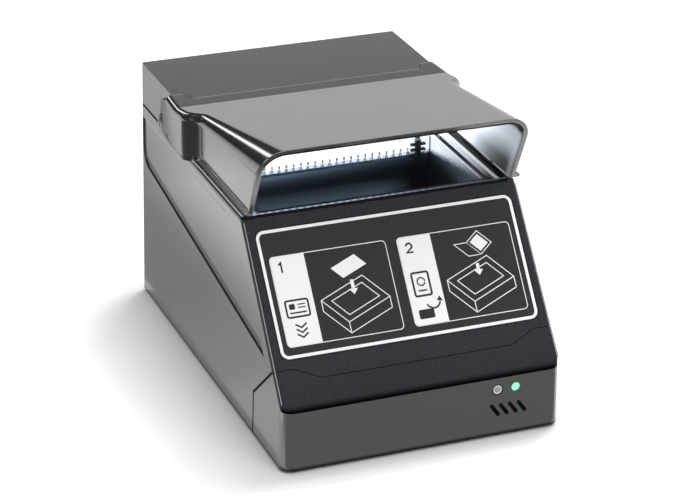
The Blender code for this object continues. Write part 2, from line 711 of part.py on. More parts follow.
def groove_mesh():
    """Band of the groove on the right side, standing in the side's drafted face."""
    fall = math.atan2(GROOVE_KNEE - GROOVE_FRONT_HEIGHT, GROOVE_REAR - GROOVE_FRONT)
    turn = math.pi / 2 - fall
    centre = (GROOVE_REAR - GROOVE_BEND, GROOVE_KNEE + GROOVE_BEND * math.tan(turn / 2))
    bend = arc(centre, GROOVE_BEND, 0, -turn, CORNER_STEPS)
    path = [(GROOVE_REAR, GROOVE_TOP)] + bend + [(GROOVE_FRONT, GROOVE_FRONT_HEIGHT)]
    outline = band_outline(path, GROOVE_WIDTH)
    for index in (len(path) - 1, len(path)):
        outline[index] = run_to_slope(outline[index], fall)
    lean = math.atan2(SIDE_LEAN, HEAD_TOP)
    c, s = math.cos(lean), math.sin(lean)
    frame = Matrix(((0, -s, c, CASE_WIDTH / 2), (1, 0, 0, 0), (0, c, s, 0), (0, 0, 0, 1)))
    return outline_mesh([outline], -GROOVE_DEPTH, OVERRUN, frame)


def run_to_slope(point, fall):
    """Point moved forward down a fall to the line where the grooves end, which follows the slope."""
    back, height = point
    behind = back * math.sin(SLOPE_ANGLE) - (height - CHIN_HEIGHT) * math.cos(SLOPE_ANGLE)
    step = (behind - GROOVE_END_INSET) / math.sin(SLOPE_ANGLE - fall)
    return (back - step * math.cos(fall), height - step * math.sin(fall))


def band_outline(path, width):
    """Outline of a band of even width along a path."""
    left, right = [], []
    for index, point in enumerate(path):
        before = Vector(path[max(index - 1, 0)])
        after = Vector(path[min(index + 1, len(path) - 1)])
        here = Vector(point)
        first = (here - before).normalized() if index else (after - here).normalized()
        last = (after - here).normalized() if index < len(path) - 1 else first
        mean = (first + last).normalized()
        normal = Vector((-mean.y, mean.x))
        spread = width / 2 / mean.dot(first)
        left.append(tuple(here + normal * spread))
        right.append(tuple(here - normal * spread))
    return left + right[::-1]


def board_corners():
    """Places of the main board's posts, out and up."""
    out = MAIN_BOARD_WIDTH / 2 - BOSS_INSET
    heights = (MAIN_BOARD_LOW + BOSS_INSET, MAIN_BOARD_HIGH - BOSS_INSET)
    return [(side * out, height) for side in (-1, 1) for height in heights]


def socket_plans():
    """Place and outer size of each rear socket."""
    return ((USB_OUT, USB_WIDTH, USB_TALL), (POWER_OUT, POWER_WIDTH, POWER_TALL))


def rear_head_cover(parent):
    """Raised box at the rear, with blocks that carry the hood's pivots."""
    rear = CASE_DEPTH + OVERRUN
    profile = [
        (SEAM_BACK, HEAD_BOTTOM), (rear, HEAD_BOTTOM),
        (rear, HEAD_TOP + OVERRUN), (SEAM_BACK, HEAD_TOP + OVERRUN)]
    wide = CASE_WIDTH / 2 + OVERRUN
    head = add_piece("rear_head_cover", outline_mesh([profile], -wide, wide, SIDE_FRAME), HEAD_PAINT, parent)
    trim(head, case_form(), "outer_form")
    ceiling = HEAD_TOP - WALL
    block_rear = SEAM_BACK + HEAD_BLOCK_DEPTH
    rear_wall = rear_face(HEAD_TOP) - WALL
    wide_half = half_width(HEAD_TOP) - WALL
    narrow_half = half_width(HEAD_TOP) - HEAD_BLOCK_WIDTH
    low = HEAD_BOTTOM - OVERRUN
    front_bay = box_mesh((-narrow_half, SEAM_BACK + WALL, low), (narrow_half, block_rear + WALL, ceiling))
    cut(head, front_bay, "front_bay")
    cut(head, box_mesh((-wide_half, block_rear, low), (wide_half, rear_wall, ceiling)), "rear_bay")
    notch = box_mesh(
        (BULGE_OUT - GAP, SEAM_BACK - OVERRUN, HEAD_TOP - HOOD_SHEET - GAP),
        (CASE_WIDTH / 2 + OVERRUN, BULGE_BACK, HEAD_TOP + OVERRUN))
    cut(head, both_sides(notch), "hood_notches")
    bore = rod_mesh(
        (half_width(HEAD_TOP) - HINGE_GRIP - GAP, HINGE_BACK, HINGE_HEIGHT),
        (CASE_WIDTH / 2 + OVERRUN, HINGE_BACK, HINGE_HEIGHT), HINGE_SHAFT_RADIUS + GAP, sides=SMALL_SIDES)
    cut(head, both_sides(bore), "pivot_bores")
    for side in (-1, 1):
        label = "left" if side < 0 else "right"
        for depth in (-1, 1):
            out = side * (ANTENNA_WIDTH / 2 - BOSS_INSET)
            back = ANTENNA_BACK + depth * (ANTENNA_DEPTH / 2 - BOSS_INSET)
            post = rod_mesh(
                (out, back, ceiling - ANTENNA_DROP + GAP), (out, back, ceiling + WALL / 2),
                BOSS_RADIUS, sides=SMALL_SIDES)
            join(head, post, "post_" + str(len(head.modifiers)))
        out = side * HEAD_SCREW_OUT
        boss = rod_mesh(
            (out, HEAD_SCREW_BACK, HEAD_BOTTOM), (out, HEAD_SCREW_BACK, ceiling + WALL / 2),
            CORNER_BOSS_RADIUS, sides=SMALL_SIDES)
        join(head, boss, "screw_boss_" + label)
        top = DECK_HEIGHT - WALL + SCREW_LENGTH
        hole = rod_mesh(
            (out, HEAD_SCREW_BACK, HEAD_BOTTOM - OVERRUN), (out, HEAD_SCREW_BACK, top),
            SCREW_RADIUS + GAP, sides=SMALL_SIDES)
        cut(head, hole, "screw_bore_" + label)
    return head


def front_bumper(parent):
    """Front face with its two side wings, lamp holes and sounder slots."""
    seat = slope_point(CHIN_SIDE_LENGTH, PANEL_SEAT)
    top = CHIN_HEIGHT - GAP
    profile = [
        (-OVERRUN, -OVERRUN), (WING_REACH, -OVERRUN), (WING_REACH - WING_KNEE_DRAW, WING_KNEE_HEIGHT),
        seat, (behind_slope(top, PANEL_SEAT), top), (-OVERRUN, top)]
    wide = CASE_WIDTH / 2 + OVERRUN
    bumper = add_piece("front_bumper", outline_mesh([profile], -wide, wide, SIDE_FRAME), CASE_PAINT, parent)
    trim(bumper, case_form(), "outer_form")
    cut(bumper, case_form(WALL, -OVERRUN, HEAD_TOP), "inner_form")
    cut(bumper, joined(slot_meshes()), "sounder_slots")
    holes = [
        rod_mesh((out, -OVERRUN, LAMP_HEIGHT), (out, WALL + OVERRUN / 2, LAMP_HEIGHT), LAMP_RADIUS + GAP)
        for out in lamp_places()]
    cut(bumper, joined(holes), "lamp_holes")
    for words, out, back in corners(CORNER_BOSS_INSET)[:2]:
        join(bumper, corner_boss(out, back), "boss_" + words)
        cut(bumper, corner_bore(out, back), "bore_" + words)
    for out, height in indicator_pegs():
        peg = rod_mesh(
            (out, WALL / 2, height), (out, INDICATOR_BOARD_BACK - GAP, height),
            PEG_RADIUS, sides=SMALL_SIDES)
        join(bumper, peg, "peg_" + str(len(bumper.modifiers)))
    return bumper


def slot_meshes():
    """The row of slanted slots in front of the sounder."""
    meshes = []
    for index in range(SLOT_COUNT):
        out = SLOT_MIDDLE + (index - (SLOT_COUNT - 1) / 2) * SLOT_PITCH
        loop = capsule_outline((out, SLOT_HEIGHT), SLOT_LENGTH, SLOT_WIDTH, -SLOT_TILT)
        meshes.append(outline_mesh([loop], -WALL - OVERRUN / 2, OVERRUN, FRONT_FRAME))
    return meshes


def lamp_places():
    """How far out the unlit and the lit lamp lie."""
    return (LAMP_OUT - LAMP_PITCH / 2, LAMP_OUT + LAMP_PITCH / 2)


def indicator_pegs():
    """Places of the two pegs that carry the indicator board."""
    edge = INDICATOR_BOARD_WIDTH / 2 - PEG_RADIUS * 2
    return (
        (SLOT_MIDDLE - edge, INDICATOR_BOARD_HIGH - PEG_RADIUS * 2),
        (SLOT_MIDDLE + edge, INDICATOR_BOARD_LOW + PEG_RADIUS * 2))


def panel_edge_waste():
    """What the round along a panel's right edge leaves over."""
    face = Vector((0, -math.sin(SLOPE_ANGLE), math.cos(SLOPE_ANGLE)))
    ends = []
    for length in (-OVERRUN, SLOPE_LENGTH + OVERRUN):
        back, height = slope_point(length, 0)
        ends.append(Vector((half_width(height), back, height)))
    return edge_waste(ends[0], ends[1], Vector((1, 0, 0)), face, PANEL_ROUND)


def chin_panel(parent):
    """Black panel between the bumper and the label panel."""
    wide = CASE_WIDTH / 2 + OVERRUN
    right = [
        (wide, -OVERRUN), (wide, CHIN_SIDE_LENGTH), (CHIN_STEP_OUTER, CHIN_SIDE_LENGTH),
        (CHIN_STEP_INNER, CHIN_MIDDLE_LENGTH)]
    outline = right + [(-u, v) for u, v in reversed(right)]
    mesh = outline_mesh([outline], -PANEL, 0, slope_frame())
    panel = add_piece("chin_panel", mesh, BLACK_GRAIN, parent)
    trim(panel, case_form(), "outer_form")
    under = box_mesh((-wide, -OVERRUN, -OVERRUN), (wide, WING_REACH, CHIN_HEIGHT))
    cut(panel, under, "lower_end")
    cut(panel, both_sides(panel_edge_waste()), "side_rounds")
    return panel


def slope_panel(parent):
    """Black sloping panel with a shallow recess for the label."""
    wide = CASE_WIDTH / 2 + OVERRUN
    low, high = CHIN_MIDDLE_LENGTH + SEAM, SLOPE_LENGTH + OVERRUN
    outline = [(-wide, low), (wide, low), (wide, high), (-wide, high)]
    panel = add_piece("slope_panel", outline_mesh([outline], -PANEL, 0, slope_frame()), BLACK_GRAIN, parent)
    wide += OVERRUN
    step = CHIN_SIDE_LENGTH + SEAM
    corner = [
        (CHIN_STEP_INNER, low), (CHIN_STEP_OUTER, step), (wide, step), (wide, low - OVERRUN),
        (CHIN_STEP_INNER, low - OVERRUN)]
    waste = outline_mesh([corner], -PANEL - OVERRUN, OVERRUN, slope_frame())
    cut(panel, both_sides(waste), "seam_corners")
    trim(panel, case_form(), "outer_form")
    over = box_mesh((-wide, 0, PANEL_TOP), (wide, CASE_DEPTH, HEAD_TOP))
    cut(panel, over, "upper_end")
    recess = outline_mesh([label_outline(GAP)], -LABEL_RECESS, OVERRUN, slope_frame())
    cut(panel, recess, "label_recess")
    cut(panel, both_sides(panel_edge_waste()), "side_rounds")
    return panel


def label_outline(spread):
    """Round-cornered outline of the label, spread by a clearance."""
    half = LABEL_WIDTH / 2 + spread
    low, high = LABEL_START - spread, LABEL_START + LABEL_LENGTH + spread
    return rounded_outline((-half, low), (half, high), [LABEL_ROUND + spread] * 4)


def instruction_label(parent):
    """Printed label, lying in the recess of the slope panel."""
    floor = -LABEL_RECESS + GAP
    mesh = outline_mesh([label_outline(0)], floor, floor + LABEL_THICKNESS, slope_frame())
    return add_piece("instruction_label", mesh, LABEL_PRINT, parent)


def scan_glass(parent):
    """Clear window of the deck."""
    half = GLASS_WIDTH / 2
    outline = rounded_outline((-half, GLASS_FRONT), (half, GLASS_REAR), [GLASS_ROUND] * 4)
    mesh = outline_mesh([outline], GLASS_BOTTOM, GLASS_TOP, PLAN_FRAME)
    return add_piece("scan_glass", mesh, CLEAR_GLASS, parent)


def window_front(height):
    """How far back the window's inner parts begin, clear of the slope panel."""
    return behind_slope(height, PANEL_SEAT)


def glass_gasket(parent):
    """Seal under the rim of the window."""
    half = GLASS_WIDTH / 2 - GAP
    front, rear = window_front(GASKET_TOP), GLASS_REAR - GAP
    outer = rounded_outline((-half, front), (half, rear), [GLASS_ROUND] * 4)
    inner = rounded_outline(
        (-half + GASKET_WIDTH, front + GASKET_WIDTH), (half - GASKET_WIDTH, rear - GASKET_WIDTH),
        [GLASS_ROUND] * 4)
    mesh = outline_mesh([outer, inner], GASKET_TOP - GASKET_THICKNESS, GASKET_TOP, PLAN_FRAME)
    return add_piece("glass_gasket", mesh, RUBBER, parent)


def glass_frame(parent):
    """Black frame under the window, with a rail at each side of its opening."""
    half = GLASS_WIDTH / 2
    front, rear = window_front(FRAME_TOP), GLASS_REAR
    outer = rounded_outline((-half, front), (half, rear), [GLASS_ROUND] * 4)
    inner_half = FRAME_OPENING_WIDTH / 2
    inner = [
        (-inner_half, CHAMBER_FRONT), (inner_half, CHAMBER_FRONT),
        (inner_half, CHAMBER_REAR), (-inner_half, CHAMBER_REAR)]
    mesh = outline_mesh([outer, inner], FRAME_BOTTOM, FRAME_TOP, PLAN_FRAME)
    frame = add_piece("glass_frame", mesh, BLACK_MATT, parent)
    low = RAIL_OUT - RAIL_WIDTH / 2
    rail = box_mesh(
        (low, CHAMBER_FRONT + CHAMBER_WALL, FRAME_TOP - RAIL_HEIGHT / 2),
        (low + RAIL_WIDTH, CHAMBER_REAR, FRAME_TOP + RAIL_HEIGHT))
    join(frame, both_sides(rail), "rails")
    return frame


def optical_chamber(parent):
    """Black box under the window, open above to the glass and below to the mirror."""
    half = CHAMBER_WIDTH / 2
    inner = [
        (-half, CHAMBER_FRONT), (half, CHAMBER_FRONT), (half, CHAMBER_REAR), (-half, CHAMBER_REAR)]
    grown = half + CHAMBER_WALL
    front, rear = CHAMBER_FRONT - CHAMBER_WALL, CHAMBER_REAR + CHAMBER_WALL
    outer = [(-grown, front), (grown, front), (grown, rear), (-grown, rear)]
    mesh = outline_mesh([outer, inner], CHAMBER_BOTTOM, CHAMBER_TOP, PLAN_FRAME)
    return add_piece("optical_chamber", mesh, BLACK_MATT, parent)


def led_board(name, wall, facing, parent):
    """Row of lamps on a narrow board; facing is the way they point, front or back."""
    half = LED_PITCH * (LED_COUNT - 1) / 2 + LED_BOARD_MARGIN
    near, far = sorted((wall + facing * GAP, wall + facing * (GAP + BOARD)))
    low = LED_ROW_HEIGHT - LED_BOARD_HEIGHT / 2
    board = add_piece(
        name, box_mesh((-half, near, low), (half, far, low + LED_BOARD_HEIGHT)), BOARD_WHITE, parent)
    lamps = []
    face = wall + facing * (GAP + BOARD)
    for index in range(LED_COUNT):
        out = (index - (LED_COUNT - 1) / 2) * LED_PITCH
        start, end = sorted((face - facing * BOARD / 2, face + facing * LED_PROUD))
        lamps.append(box_mesh(
            (out - LED_WIDTH / 2, start, LED_ROW_HEIGHT - LED_HEIGHT / 2),
            (out + LED_WIDTH / 2, end, LED_ROW_HEIGHT + LED_HEIGHT / 2)))
    join(board, joined(lamps), "lamps")
    return board


def led_clip(name, side, parent):
    """Holder beside the end of the rear lamp row."""
    out = side * CLIP_OUT
    low = LED_ROW_HEIGHT - CLIP_HEIGHT / 2
    back = CHAMBER_REAR - GAP
    front = back - CLIP_DEPTH
    half = CLIP_WIDTH / 2
    mesh = box_mesh((out - half, front, low), (out + half, back, low + CLIP_HEIGHT))
    clip = add_piece(name, mesh, BLACK_MATT, parent)
    fins = []
    for share in (1 / 4, 1 / 2, 3 / 4):
        height = low + CLIP_HEIGHT * share - CLIP_FIN_THICKNESS / 2
        fins.append(box_mesh(
            (out - half - CLIP_FIN, front + GAP, height),
            (out + half + CLIP_FIN, back - GAP, height + CLIP_FIN_THICKNESS)))
    join(clip, joined(fins), "fins")
    return clip


def tilted(along, inset):
    """Point in the side view, down the mirror's slant and behind its face."""
    c = math.cos(MIRROR_TILT)
    return (MIRROR_BACK + (along - inset) * c, MIRROR_HEIGHT - (along + inset) * c)


def mirror(parent):
    """Folding mirror that turns the view towards the camera."""
    half = MIRROR_LENGTH / 2
    profile = [
        tilted(-half, 0), tilted(half, 0), tilted(half, MIRROR_THICKNESS), tilted(-half, MIRROR_THICKNESS)]
    mesh = outline_mesh([profile], -MIRROR_WIDTH / 2, MIRROR_WIDTH / 2, SIDE_FRAME)
    return add_piece("mirror", mesh, MIRROR_FACE, parent)


def mirror_bracket(parent):
    """Bent sheet that carries the mirror on the tray."""
    front = MIRROR_THICKNESS + GAP
    half = MIRROR_LENGTH / 2
    floor = TRAY_THICKNESS + GAP
    toe = MIRROR_BACK + MIRROR_HEIGHT - floor - front / math.cos(MIRROR_TILT)
    heel = toe - BRACKET_SHEET / math.cos(MIRROR_TILT)
    profile = [
        (toe - MIRROR_FOOT, floor), (toe, floor), tilted(-half, front), tilted(-half, front + BRACKET_SHEET),
        (heel - BRACKET_SHEET, floor + BRACKET_SHEET), (toe - MIRROR_FOOT, floor + BRACKET_SHEET)]
    half = MIRROR_WIDTH / 2 - BRACKET_SHEET
    return add_piece("mirror_bracket", outline_mesh([profile], -half, half, SIDE_FRAME), STEEL, parent)


def camera_bracket(parent):
    """Angle bracket on the tray behind the camera board."""
    floor = TRAY_THICKNESS + GAP
    front = CAMERA_BACK + BOARD + GAP
    top = MIRROR_HEIGHT + CAMERA_BOARD_HEIGHT / 2
    profile = [
        (front, floor), (front + CAMERA_FOOT, floor), (front + CAMERA_FOOT, floor + BRACKET_SHEET),
        (front + BRACKET_SHEET, floor + BRACKET_SHEET), (front + BRACKET_SHEET, top), (front, top)]
    half = CAMERA_BOARD_WIDTH / 2
    return add_piece("camera_bracket", outline_mesh([profile], -half, half, SIDE_FRAME), STEEL, parent)


def camera_board(parent):
    """Board of the camera sensor."""
    half, tall = CAMERA_BOARD_WIDTH / 2, CAMERA_BOARD_HEIGHT / 2
    mesh = box_mesh(
        (-half, CAMERA_BACK, MIRROR_HEIGHT - tall), (half, CAMERA_BACK + BOARD, MIRROR_HEIGHT + tall))
    return add_piece("camera_board", mesh, BOARD_GREEN, parent)


def lens_barrel(parent):
    """Barrel of the camera lens, open at its mouth."""
    mouth = LENS_RADIUS + GAP
    profile = [
        (0, BARREL_NECK_RADIUS), (BARREL_NECK, BARREL_NECK_RADIUS), (BARREL_NECK, BARREL_RADIUS),
        (BARREL_LENGTH, BARREL_RADIUS), (BARREL_LENGTH, mouth),
        (BARREL_LENGTH - LENS_THICKNESS - GAP * 2, mouth)]
    mesh = turned_mesh((0, CAMERA_BACK - GAP, MIRROR_HEIGHT), (0, -1, 0), profile)
    return add_piece("lens_barrel", mesh, BLACK_MATT, parent)


def camera_lens(parent):
    """Front glass of the lens, seated in the barrel's mouth."""
    front = CAMERA_BACK - GAP - BARREL_LENGTH + GAP
    mesh = rod_mesh((0, front, MIRROR_HEIGHT), (0, front + LENS_THICKNESS, MIRROR_HEIGHT), LENS_RADIUS)
    return add_piece("camera_lens", mesh, CLEAR_GLASS, parent)


def main_board(parent):
    """Main board, upright in front of the rear wall."""
    half = MAIN_BOARD_WIDTH / 2
    rear = MAIN_BOARD_BACK + BOARD
    mesh = box_mesh((-half, MAIN_BOARD_BACK, MAIN_BOARD_LOW), (half, rear, MAIN_BOARD_HIGH))
    return add_piece("main_board", mesh, BOARD_GREEN, parent)


def socket_box(name, out, wide, tall, parent):
    """Housing of a socket, from the board to just inside the rear face, and where it ends."""
    start = MAIN_BOARD_BACK + BOARD + GAP
    end = rear_face(SOCKET_HEIGHT + tall / 2) - GAP
    mesh = box_mesh(
        (out - wide / 2, start, SOCKET_HEIGHT - tall / 2), (out + wide / 2, end, SOCKET_HEIGHT + tall / 2))
    return add_piece(name, mesh, STEEL, parent), end


def usb_socket(parent):
    """Data socket with a tongue set back in its mouth."""
    socket, end = socket_box("usb_socket", USB_OUT, USB_WIDTH, USB_TALL, parent)
    half, tall = USB_MOUTH_WIDTH / 2, USB_MOUTH_TALL / 2
    mouth = box_mesh(
        (USB_OUT - half, end - SOCKET_MOUTH_DEPTH, SOCKET_HEIGHT - tall),
        (USB_OUT + half, end + OVERRUN, SOCKET_HEIGHT + tall))
    cut(socket, mouth, "mouth")
    half, tall = USB_TONGUE_WIDTH / 2, USB_TONGUE_TALL / 2
    tongue = box_mesh(
        (USB_OUT - half, end - SOCKET_MOUTH_DEPTH - BOARD, SOCKET_HEIGHT - tall),
        (USB_OUT + half, end - SOCKET_PIN_SET_BACK, SOCKET_HEIGHT + tall))
    join(socket, tongue, "tongue")
    return socket


def power_socket(parent):
    """Power socket with a centre pin set back in its mouth."""
    socket, end = socket_box("power_socket", POWER_OUT, POWER_WIDTH, POWER_TALL, parent)
    mouth = rod_mesh(
        (POWER_OUT, end - SOCKET_MOUTH_DEPTH, SOCKET_HEIGHT), (POWER_OUT, end + OVERRUN, SOCKET_HEIGHT),
        POWER_MOUTH_RADIUS)
    cut(socket, mouth, "mouth")
    pin = rod_mesh(
        (POWER_OUT, end - SOCKET_MOUTH_DEPTH - BOARD, SOCKET_HEIGHT),
        (POWER_OUT, end - SOCKET_PIN_SET_BACK, SOCKET_HEIGHT), POWER_PIN_RADIUS, sides=SMALL_SIDES)
    join(socket, pin, "pin")
    return socket


def antenna_board(parent):
    """Board of the contactless antenna, hung from the head's ceiling."""
    top = HEAD_TOP - WALL - ANTENNA_DROP
    half, deep = ANTENNA_WIDTH / 2, ANTENNA_DEPTH / 2
    mesh = box_mesh((-half, ANTENNA_BACK - deep, top - BOARD), (half, ANTENNA_BACK + deep, top))
    return add_piece("antenna_board", mesh, BOARD_GREEN, parent)


def indicator_board(parent):
    """Small board behind the lamps and the sounder."""
    half = INDICATOR_BOARD_WIDTH / 2
    mesh = box_mesh(
        (SLOT_MIDDLE - half, INDICATOR_BOARD_BACK, INDICATOR_BOARD_LOW),
        (SLOT_MIDDLE + half, INDICATOR_BOARD_BACK + BOARD, INDICATOR_BOARD_HIGH))
    return add_piece("indicator_board", mesh, BOARD_GREEN, parent)


def status_lamp(name, out, finish, parent):
    """Round lamp body from the board to the front face."""
    rear = INDICATOR_BOARD_BACK - GAP
    mesh = rod_mesh((out, rear, LAMP_HEIGHT), (out, LAMP_SET_BACK, LAMP_HEIGHT), LAMP_RADIUS)
    return add_piece(name, mesh, finish, parent)


def sounder(parent):
    """Round sounder on the indicator board, behind the slots."""
    end = INDICATOR_BOARD_BACK - GAP
    mesh = rod_mesh(
        (SLOT_MIDDLE, end, SLOT_HEIGHT), (SLOT_MIDDLE, end - SOUNDER_DEPTH, SLOT_HEIGHT), SOUNDER_RADIUS)
    return add_piece("sounder", mesh, BLACK_MATT, parent)


def base_tray(parent):
    """Floor of the case, with seats for the feet, the screws and the plate."""
    tray = add_piece("base_tray", case_form(WALL + GAP, 0, TRAY_THICKNESS), BLACK_MATT, parent)
    half, deep = PLATE_WIDTH / 2 + GAP, PLATE_DEPTH / 2 + GAP
    middle = CASE_DEPTH / 2
    seat = box_mesh((-half, middle - deep, -OVERRUN), (half, middle + deep, PLATE_THICKNESS + GAP))
    cut(tray, seat, "plate_seat")
    seats = [
        rod_mesh((out, back, -OVERRUN), (out, back, FOOT_SUNK + GAP), FOOT_RADIUS + GAP)
        for words, out, back in corners(FOOT_INSET)]
    cut(tray, joined(seats), "foot_seats")
    wide, narrow = SCREW_HEAD_RADIUS + GAP, SCREW_RADIUS + GAP
    step = OVERRUN + SCREW_HEAD + GAP
    profile = [(0, wide), (step, wide), (step, narrow), (TRAY_THICKNESS + OVERRUN * 2, narrow)]
    holes = [
        turned_mesh((out, back, -OVERRUN), (0, 0, 1), profile, SMALL_SIDES)
        for words, out, back in corners(CORNER_BOSS_INSET)]
    cut(tray, joined(holes), "screw_holes")
    return tray


def rating_plate(parent):
    """Bare plate on the underside."""
    half, deep = PLATE_WIDTH / 2, PLATE_DEPTH / 2
    middle = CASE_DEPTH / 2
    mesh = box_mesh((-half, middle - deep, 0), (half, middle + deep, PLATE_THICKNESS))
    return add_piece("rating_plate", mesh, LAMP_GREY, parent)


def foot(name, out, back, parent):
    """Rubber foot, let into the tray."""
    mesh = rod_mesh((out, back, FOOT_SUNK), (out, back, -FOOT_STAND), FOOT_RADIUS, FOOT_RADIUS - FOOT_TAPER)
    return add_piece(name, mesh, RUBBER, parent)


def screw(name, place, parent):
    """Screw that points up, with the underside of its head at a place."""
    profile = [
        (0, SCREW_HEAD_RADIUS), (SCREW_HEAD, SCREW_HEAD_RADIUS), (SCREW_HEAD, SCREW_RADIUS),
        (SCREW_HEAD + SCREW_LENGTH, SCREW_RADIUS)]
    return add_piece(name, turned_mesh(place, (0, 0, 1), profile, SMALL_SIDES), STEEL, parent)


def hinge_screw(name, side, parent):
    """Pivot screw through the ear into the head's block."""
    face = ear_face(HINGE_BACK) - GAP
    length = face - half_width(HEAD_TOP) + HINGE_GRIP
    profile = [
        (0, HINGE_HEAD_RADIUS), (HINGE_HEAD, HINGE_HEAD_RADIUS), (HINGE_HEAD, HINGE_SHAFT_RADIUS),
        (length, HINGE_SHAFT_RADIUS)]
    mesh = turned_mesh((side * face, HINGE_BACK, HINGE_HEIGHT), (-side, 0, 0), profile, SMALL_SIDES)
    piece = add_piece(name, mesh, DARK_STEEL, parent)
    reach = HINGE_HEAD_RADIUS + OVERRUN
    ends = sorted((side * (face - HINGE_HEAD / 2), side * (face + OVERRUN)))
    slot = box_mesh(
        (ends[0], HINGE_BACK - reach, HINGE_HEIGHT - SEAM),
        (ends[1], HINGE_BACK + reach, HINGE_HEIGHT + SEAM))
    cut(piece, slot, "driver_slot")
    return piece


def ear_face(back):
    """How far out the ear's outer face lies, a distance back."""
    share = max(0, (back - HOOD_REAR) / (EAR_REAR - HOOD_REAR))
    return EAR_HALF_WIDTH + (EAR_TAIL_OUT - EAR_HALF_WIDTH) * share


def hinge_bush(name, side, parent):
    """Bush between the pivot screw and the ear."""
    length = ear_face(HINGE_BACK) - GAP * 2 - HINGE_HEAD - EAR_INNER
    inner = HINGE_SHAFT_RADIUS + RUN_GAP
    outer = inner + HINGE_BUSH_WALL
    profile = [(0, outer), (length, outer), (length, inner), (0, inner)]
    place = (side * EAR_INNER, HINGE_BACK, HINGE_HEIGHT)
    mesh = turned_mesh(place, (side, 0, 0), profile, SMALL_SIDES, looped=True)
    return add_piece(name, mesh, BLACK_MATT, parent)


def eased(value, start, end):
    """Share of the way from start to end, easing in and out."""
    share = min(max((value - start) / (end - start), 0), 1)
    return share * share * (3 - 2 * share)


def roof_height(base, lean, drop):
    """Height of the roof, less a drop, on a section that leans forward."""
    level = HEAD_TOP - drop
    pitch = math.tan(ROOF_PITCH)
    rise = pitch * (CREASE_BACK - base - lean * (RIM_DATUM - level))
    return max(level, level + rise / (1 - pitch * lean))


def hood_ring(base, lean):
    """Closed outline of the hood's sheet on one section."""
    spread = eased(base, STEP_FRONT, STEP_REAR)
    width = HOOD_HALF_WIDTH + (EAR_HALF_WIDTH - HOOD_HALF_WIDTH) * spread
    tip = max(width, HOOD_HALF_WIDTH + HOOD_TIP_OUT)
    foot_level = HOOD_FOOT + (EAR_FOOT - HOOD_FOOT) * spread
    front_share = min(max((CREASE_BACK - base) / (CREASE_BACK - RIM_BACK), 0), 1)
    bend = ROOF_ROUND_REAR + (ROOF_ROUND_FRONT - ROOF_ROUND_REAR) * front_share
    roof = roof_height(base, lean, 0)
    ceiling = roof_height(base, lean, HOOD_SHEET)
    inner_bend = bend - HOOD_SHEET
    outer = [(tip, foot_level), (tip, foot_level + HOOD_TIP_RISE), (width, foot_level + HOOD_ROOT_RISE)]
    outer += arc((width - bend, roof - bend), bend, 0, math.pi / 2, HOOD_STEPS)
    inner_width = width - HOOD_SHEET
    inner = arc((inner_width - inner_bend, ceiling - inner_bend), inner_bend, math.pi / 2, 0, HOOD_STEPS)
    inner.append((inner_width, foot_level))
    half = outer + [(-u, v) for u, v in reversed(outer)]
    half += [(-u, v) for u, v in reversed(inner)] + inner
    return [Vector((u, base - lean * (v - RIM_DATUM), v)) for u, v in half]


def hood_stations():
    """Sections of the hood from its rim to its rear edge, as base and lean."""
    stride = (STEP_REAR - STEP_FRONT) / CORNER_STEPS
    backs = [STEP_FRONT + stride * index for index in range(CORNER_STEPS + 1)] + [CREASE_BACK, HOOD_REAR]
    return [(RIM_BACK, math.tan(RIM_LEAN))] + [(back, 0) for back in backs]


def clear_radius(edge):
    """Radius about the pivot that just clears a top edge of the head."""
    return math.hypot(HINGE_BACK - edge, HEAD_TOP - HINGE_HEIGHT) + GAP


def hood_shell(parent):
    """Light hood: roof and sides, foot flanges and the two pivot ears."""
    mesh = loft_mesh([hood_ring(base, lean) for base, lean in hood_stations()])
    hood = add_piece("hood_shell", mesh, CASE_PAINT, parent)
    start = HOOD_REAR - HOOD_SHEET / 2
    tail = [
        (start, EAR_FOOT), (EAR_REAR, EAR_FOOT), (EAR_REAR - EAR_TAIL_DRAW, EAR_TAIL_TOP),
        (start, HEAD_TOP - ROOF_ROUND_REAR)]
    join(hood, outline_mesh([tail], EAR_INNER, EAR_HALF_WIDTH, SIDE_FRAME), "ear_right")
    join(hood, mirrored(outline_mesh([tail], EAR_INNER, EAR_HALF_WIDTH, SIDE_FRAME)), "ear_left")
    over = EAR_REAR + OVERRUN
    taper = [
        (EAR_HALF_WIDTH, HOOD_REAR), (ear_face(over), over), (EAR_HALF_WIDTH + OVERRUN, over),
        (EAR_HALF_WIDTH + OVERRUN, HOOD_REAR)]
    waste = outline_mesh([taper], DECK_HEIGHT - OVERRUN, HEAD_TOP, PLAN_FRAME)
    cut(hood, both_sides(waste), "ear_tapers")
    axle = (HINGE_BACK, HINGE_HEIGHT)
    middle = rod_mesh((-BULGE_OUT, *axle), (BULGE_OUT, *axle), clear_radius(SEAM_BACK), sides=FINE_SIDES)
    cut(hood, middle, "seam_clearance")
    inner = EAR_INNER - GAP
    ends = rod_mesh((-inner, *axle), (inner, *axle), clear_radius(BULGE_BACK), sides=FINE_SIDES)
    cut(hood, ends, "bulge_clearance")
    outer = HINGE_SHAFT_RADIUS + RUN_GAP + HINGE_BUSH_WALL + GAP
    bore = rod_mesh((EAR_INNER - OVERRUN, *axle), (EAR_HALF_WIDTH + OVERRUN, *axle), outer)
    cut(hood, both_sides(bore), "bush_bores")
    return hood


def hood_pad(name, side, parent):
    """Small rubber stop under the hood's foot."""
    out = side * PAD_OUT
    mesh = rod_mesh(
        (out, PAD_BACK, DECK_HEIGHT + GAP), (out, PAD_BACK, HOOD_FOOT - GAP), PAD_RADIUS, sides=SMALL_SIDES)
    return add_piece(name, mesh, RUBBER, parent)


def add_empty(name, location, parent=None):
    """An empty, for placing the pieces under it."""
    empty = bpy.data.objects.new(name, None)
    PARTS.objects.link(empty)
    empty.parent = parent
    empty.location = location
    empty["offset"] = (0, 0, 0)
    return empty


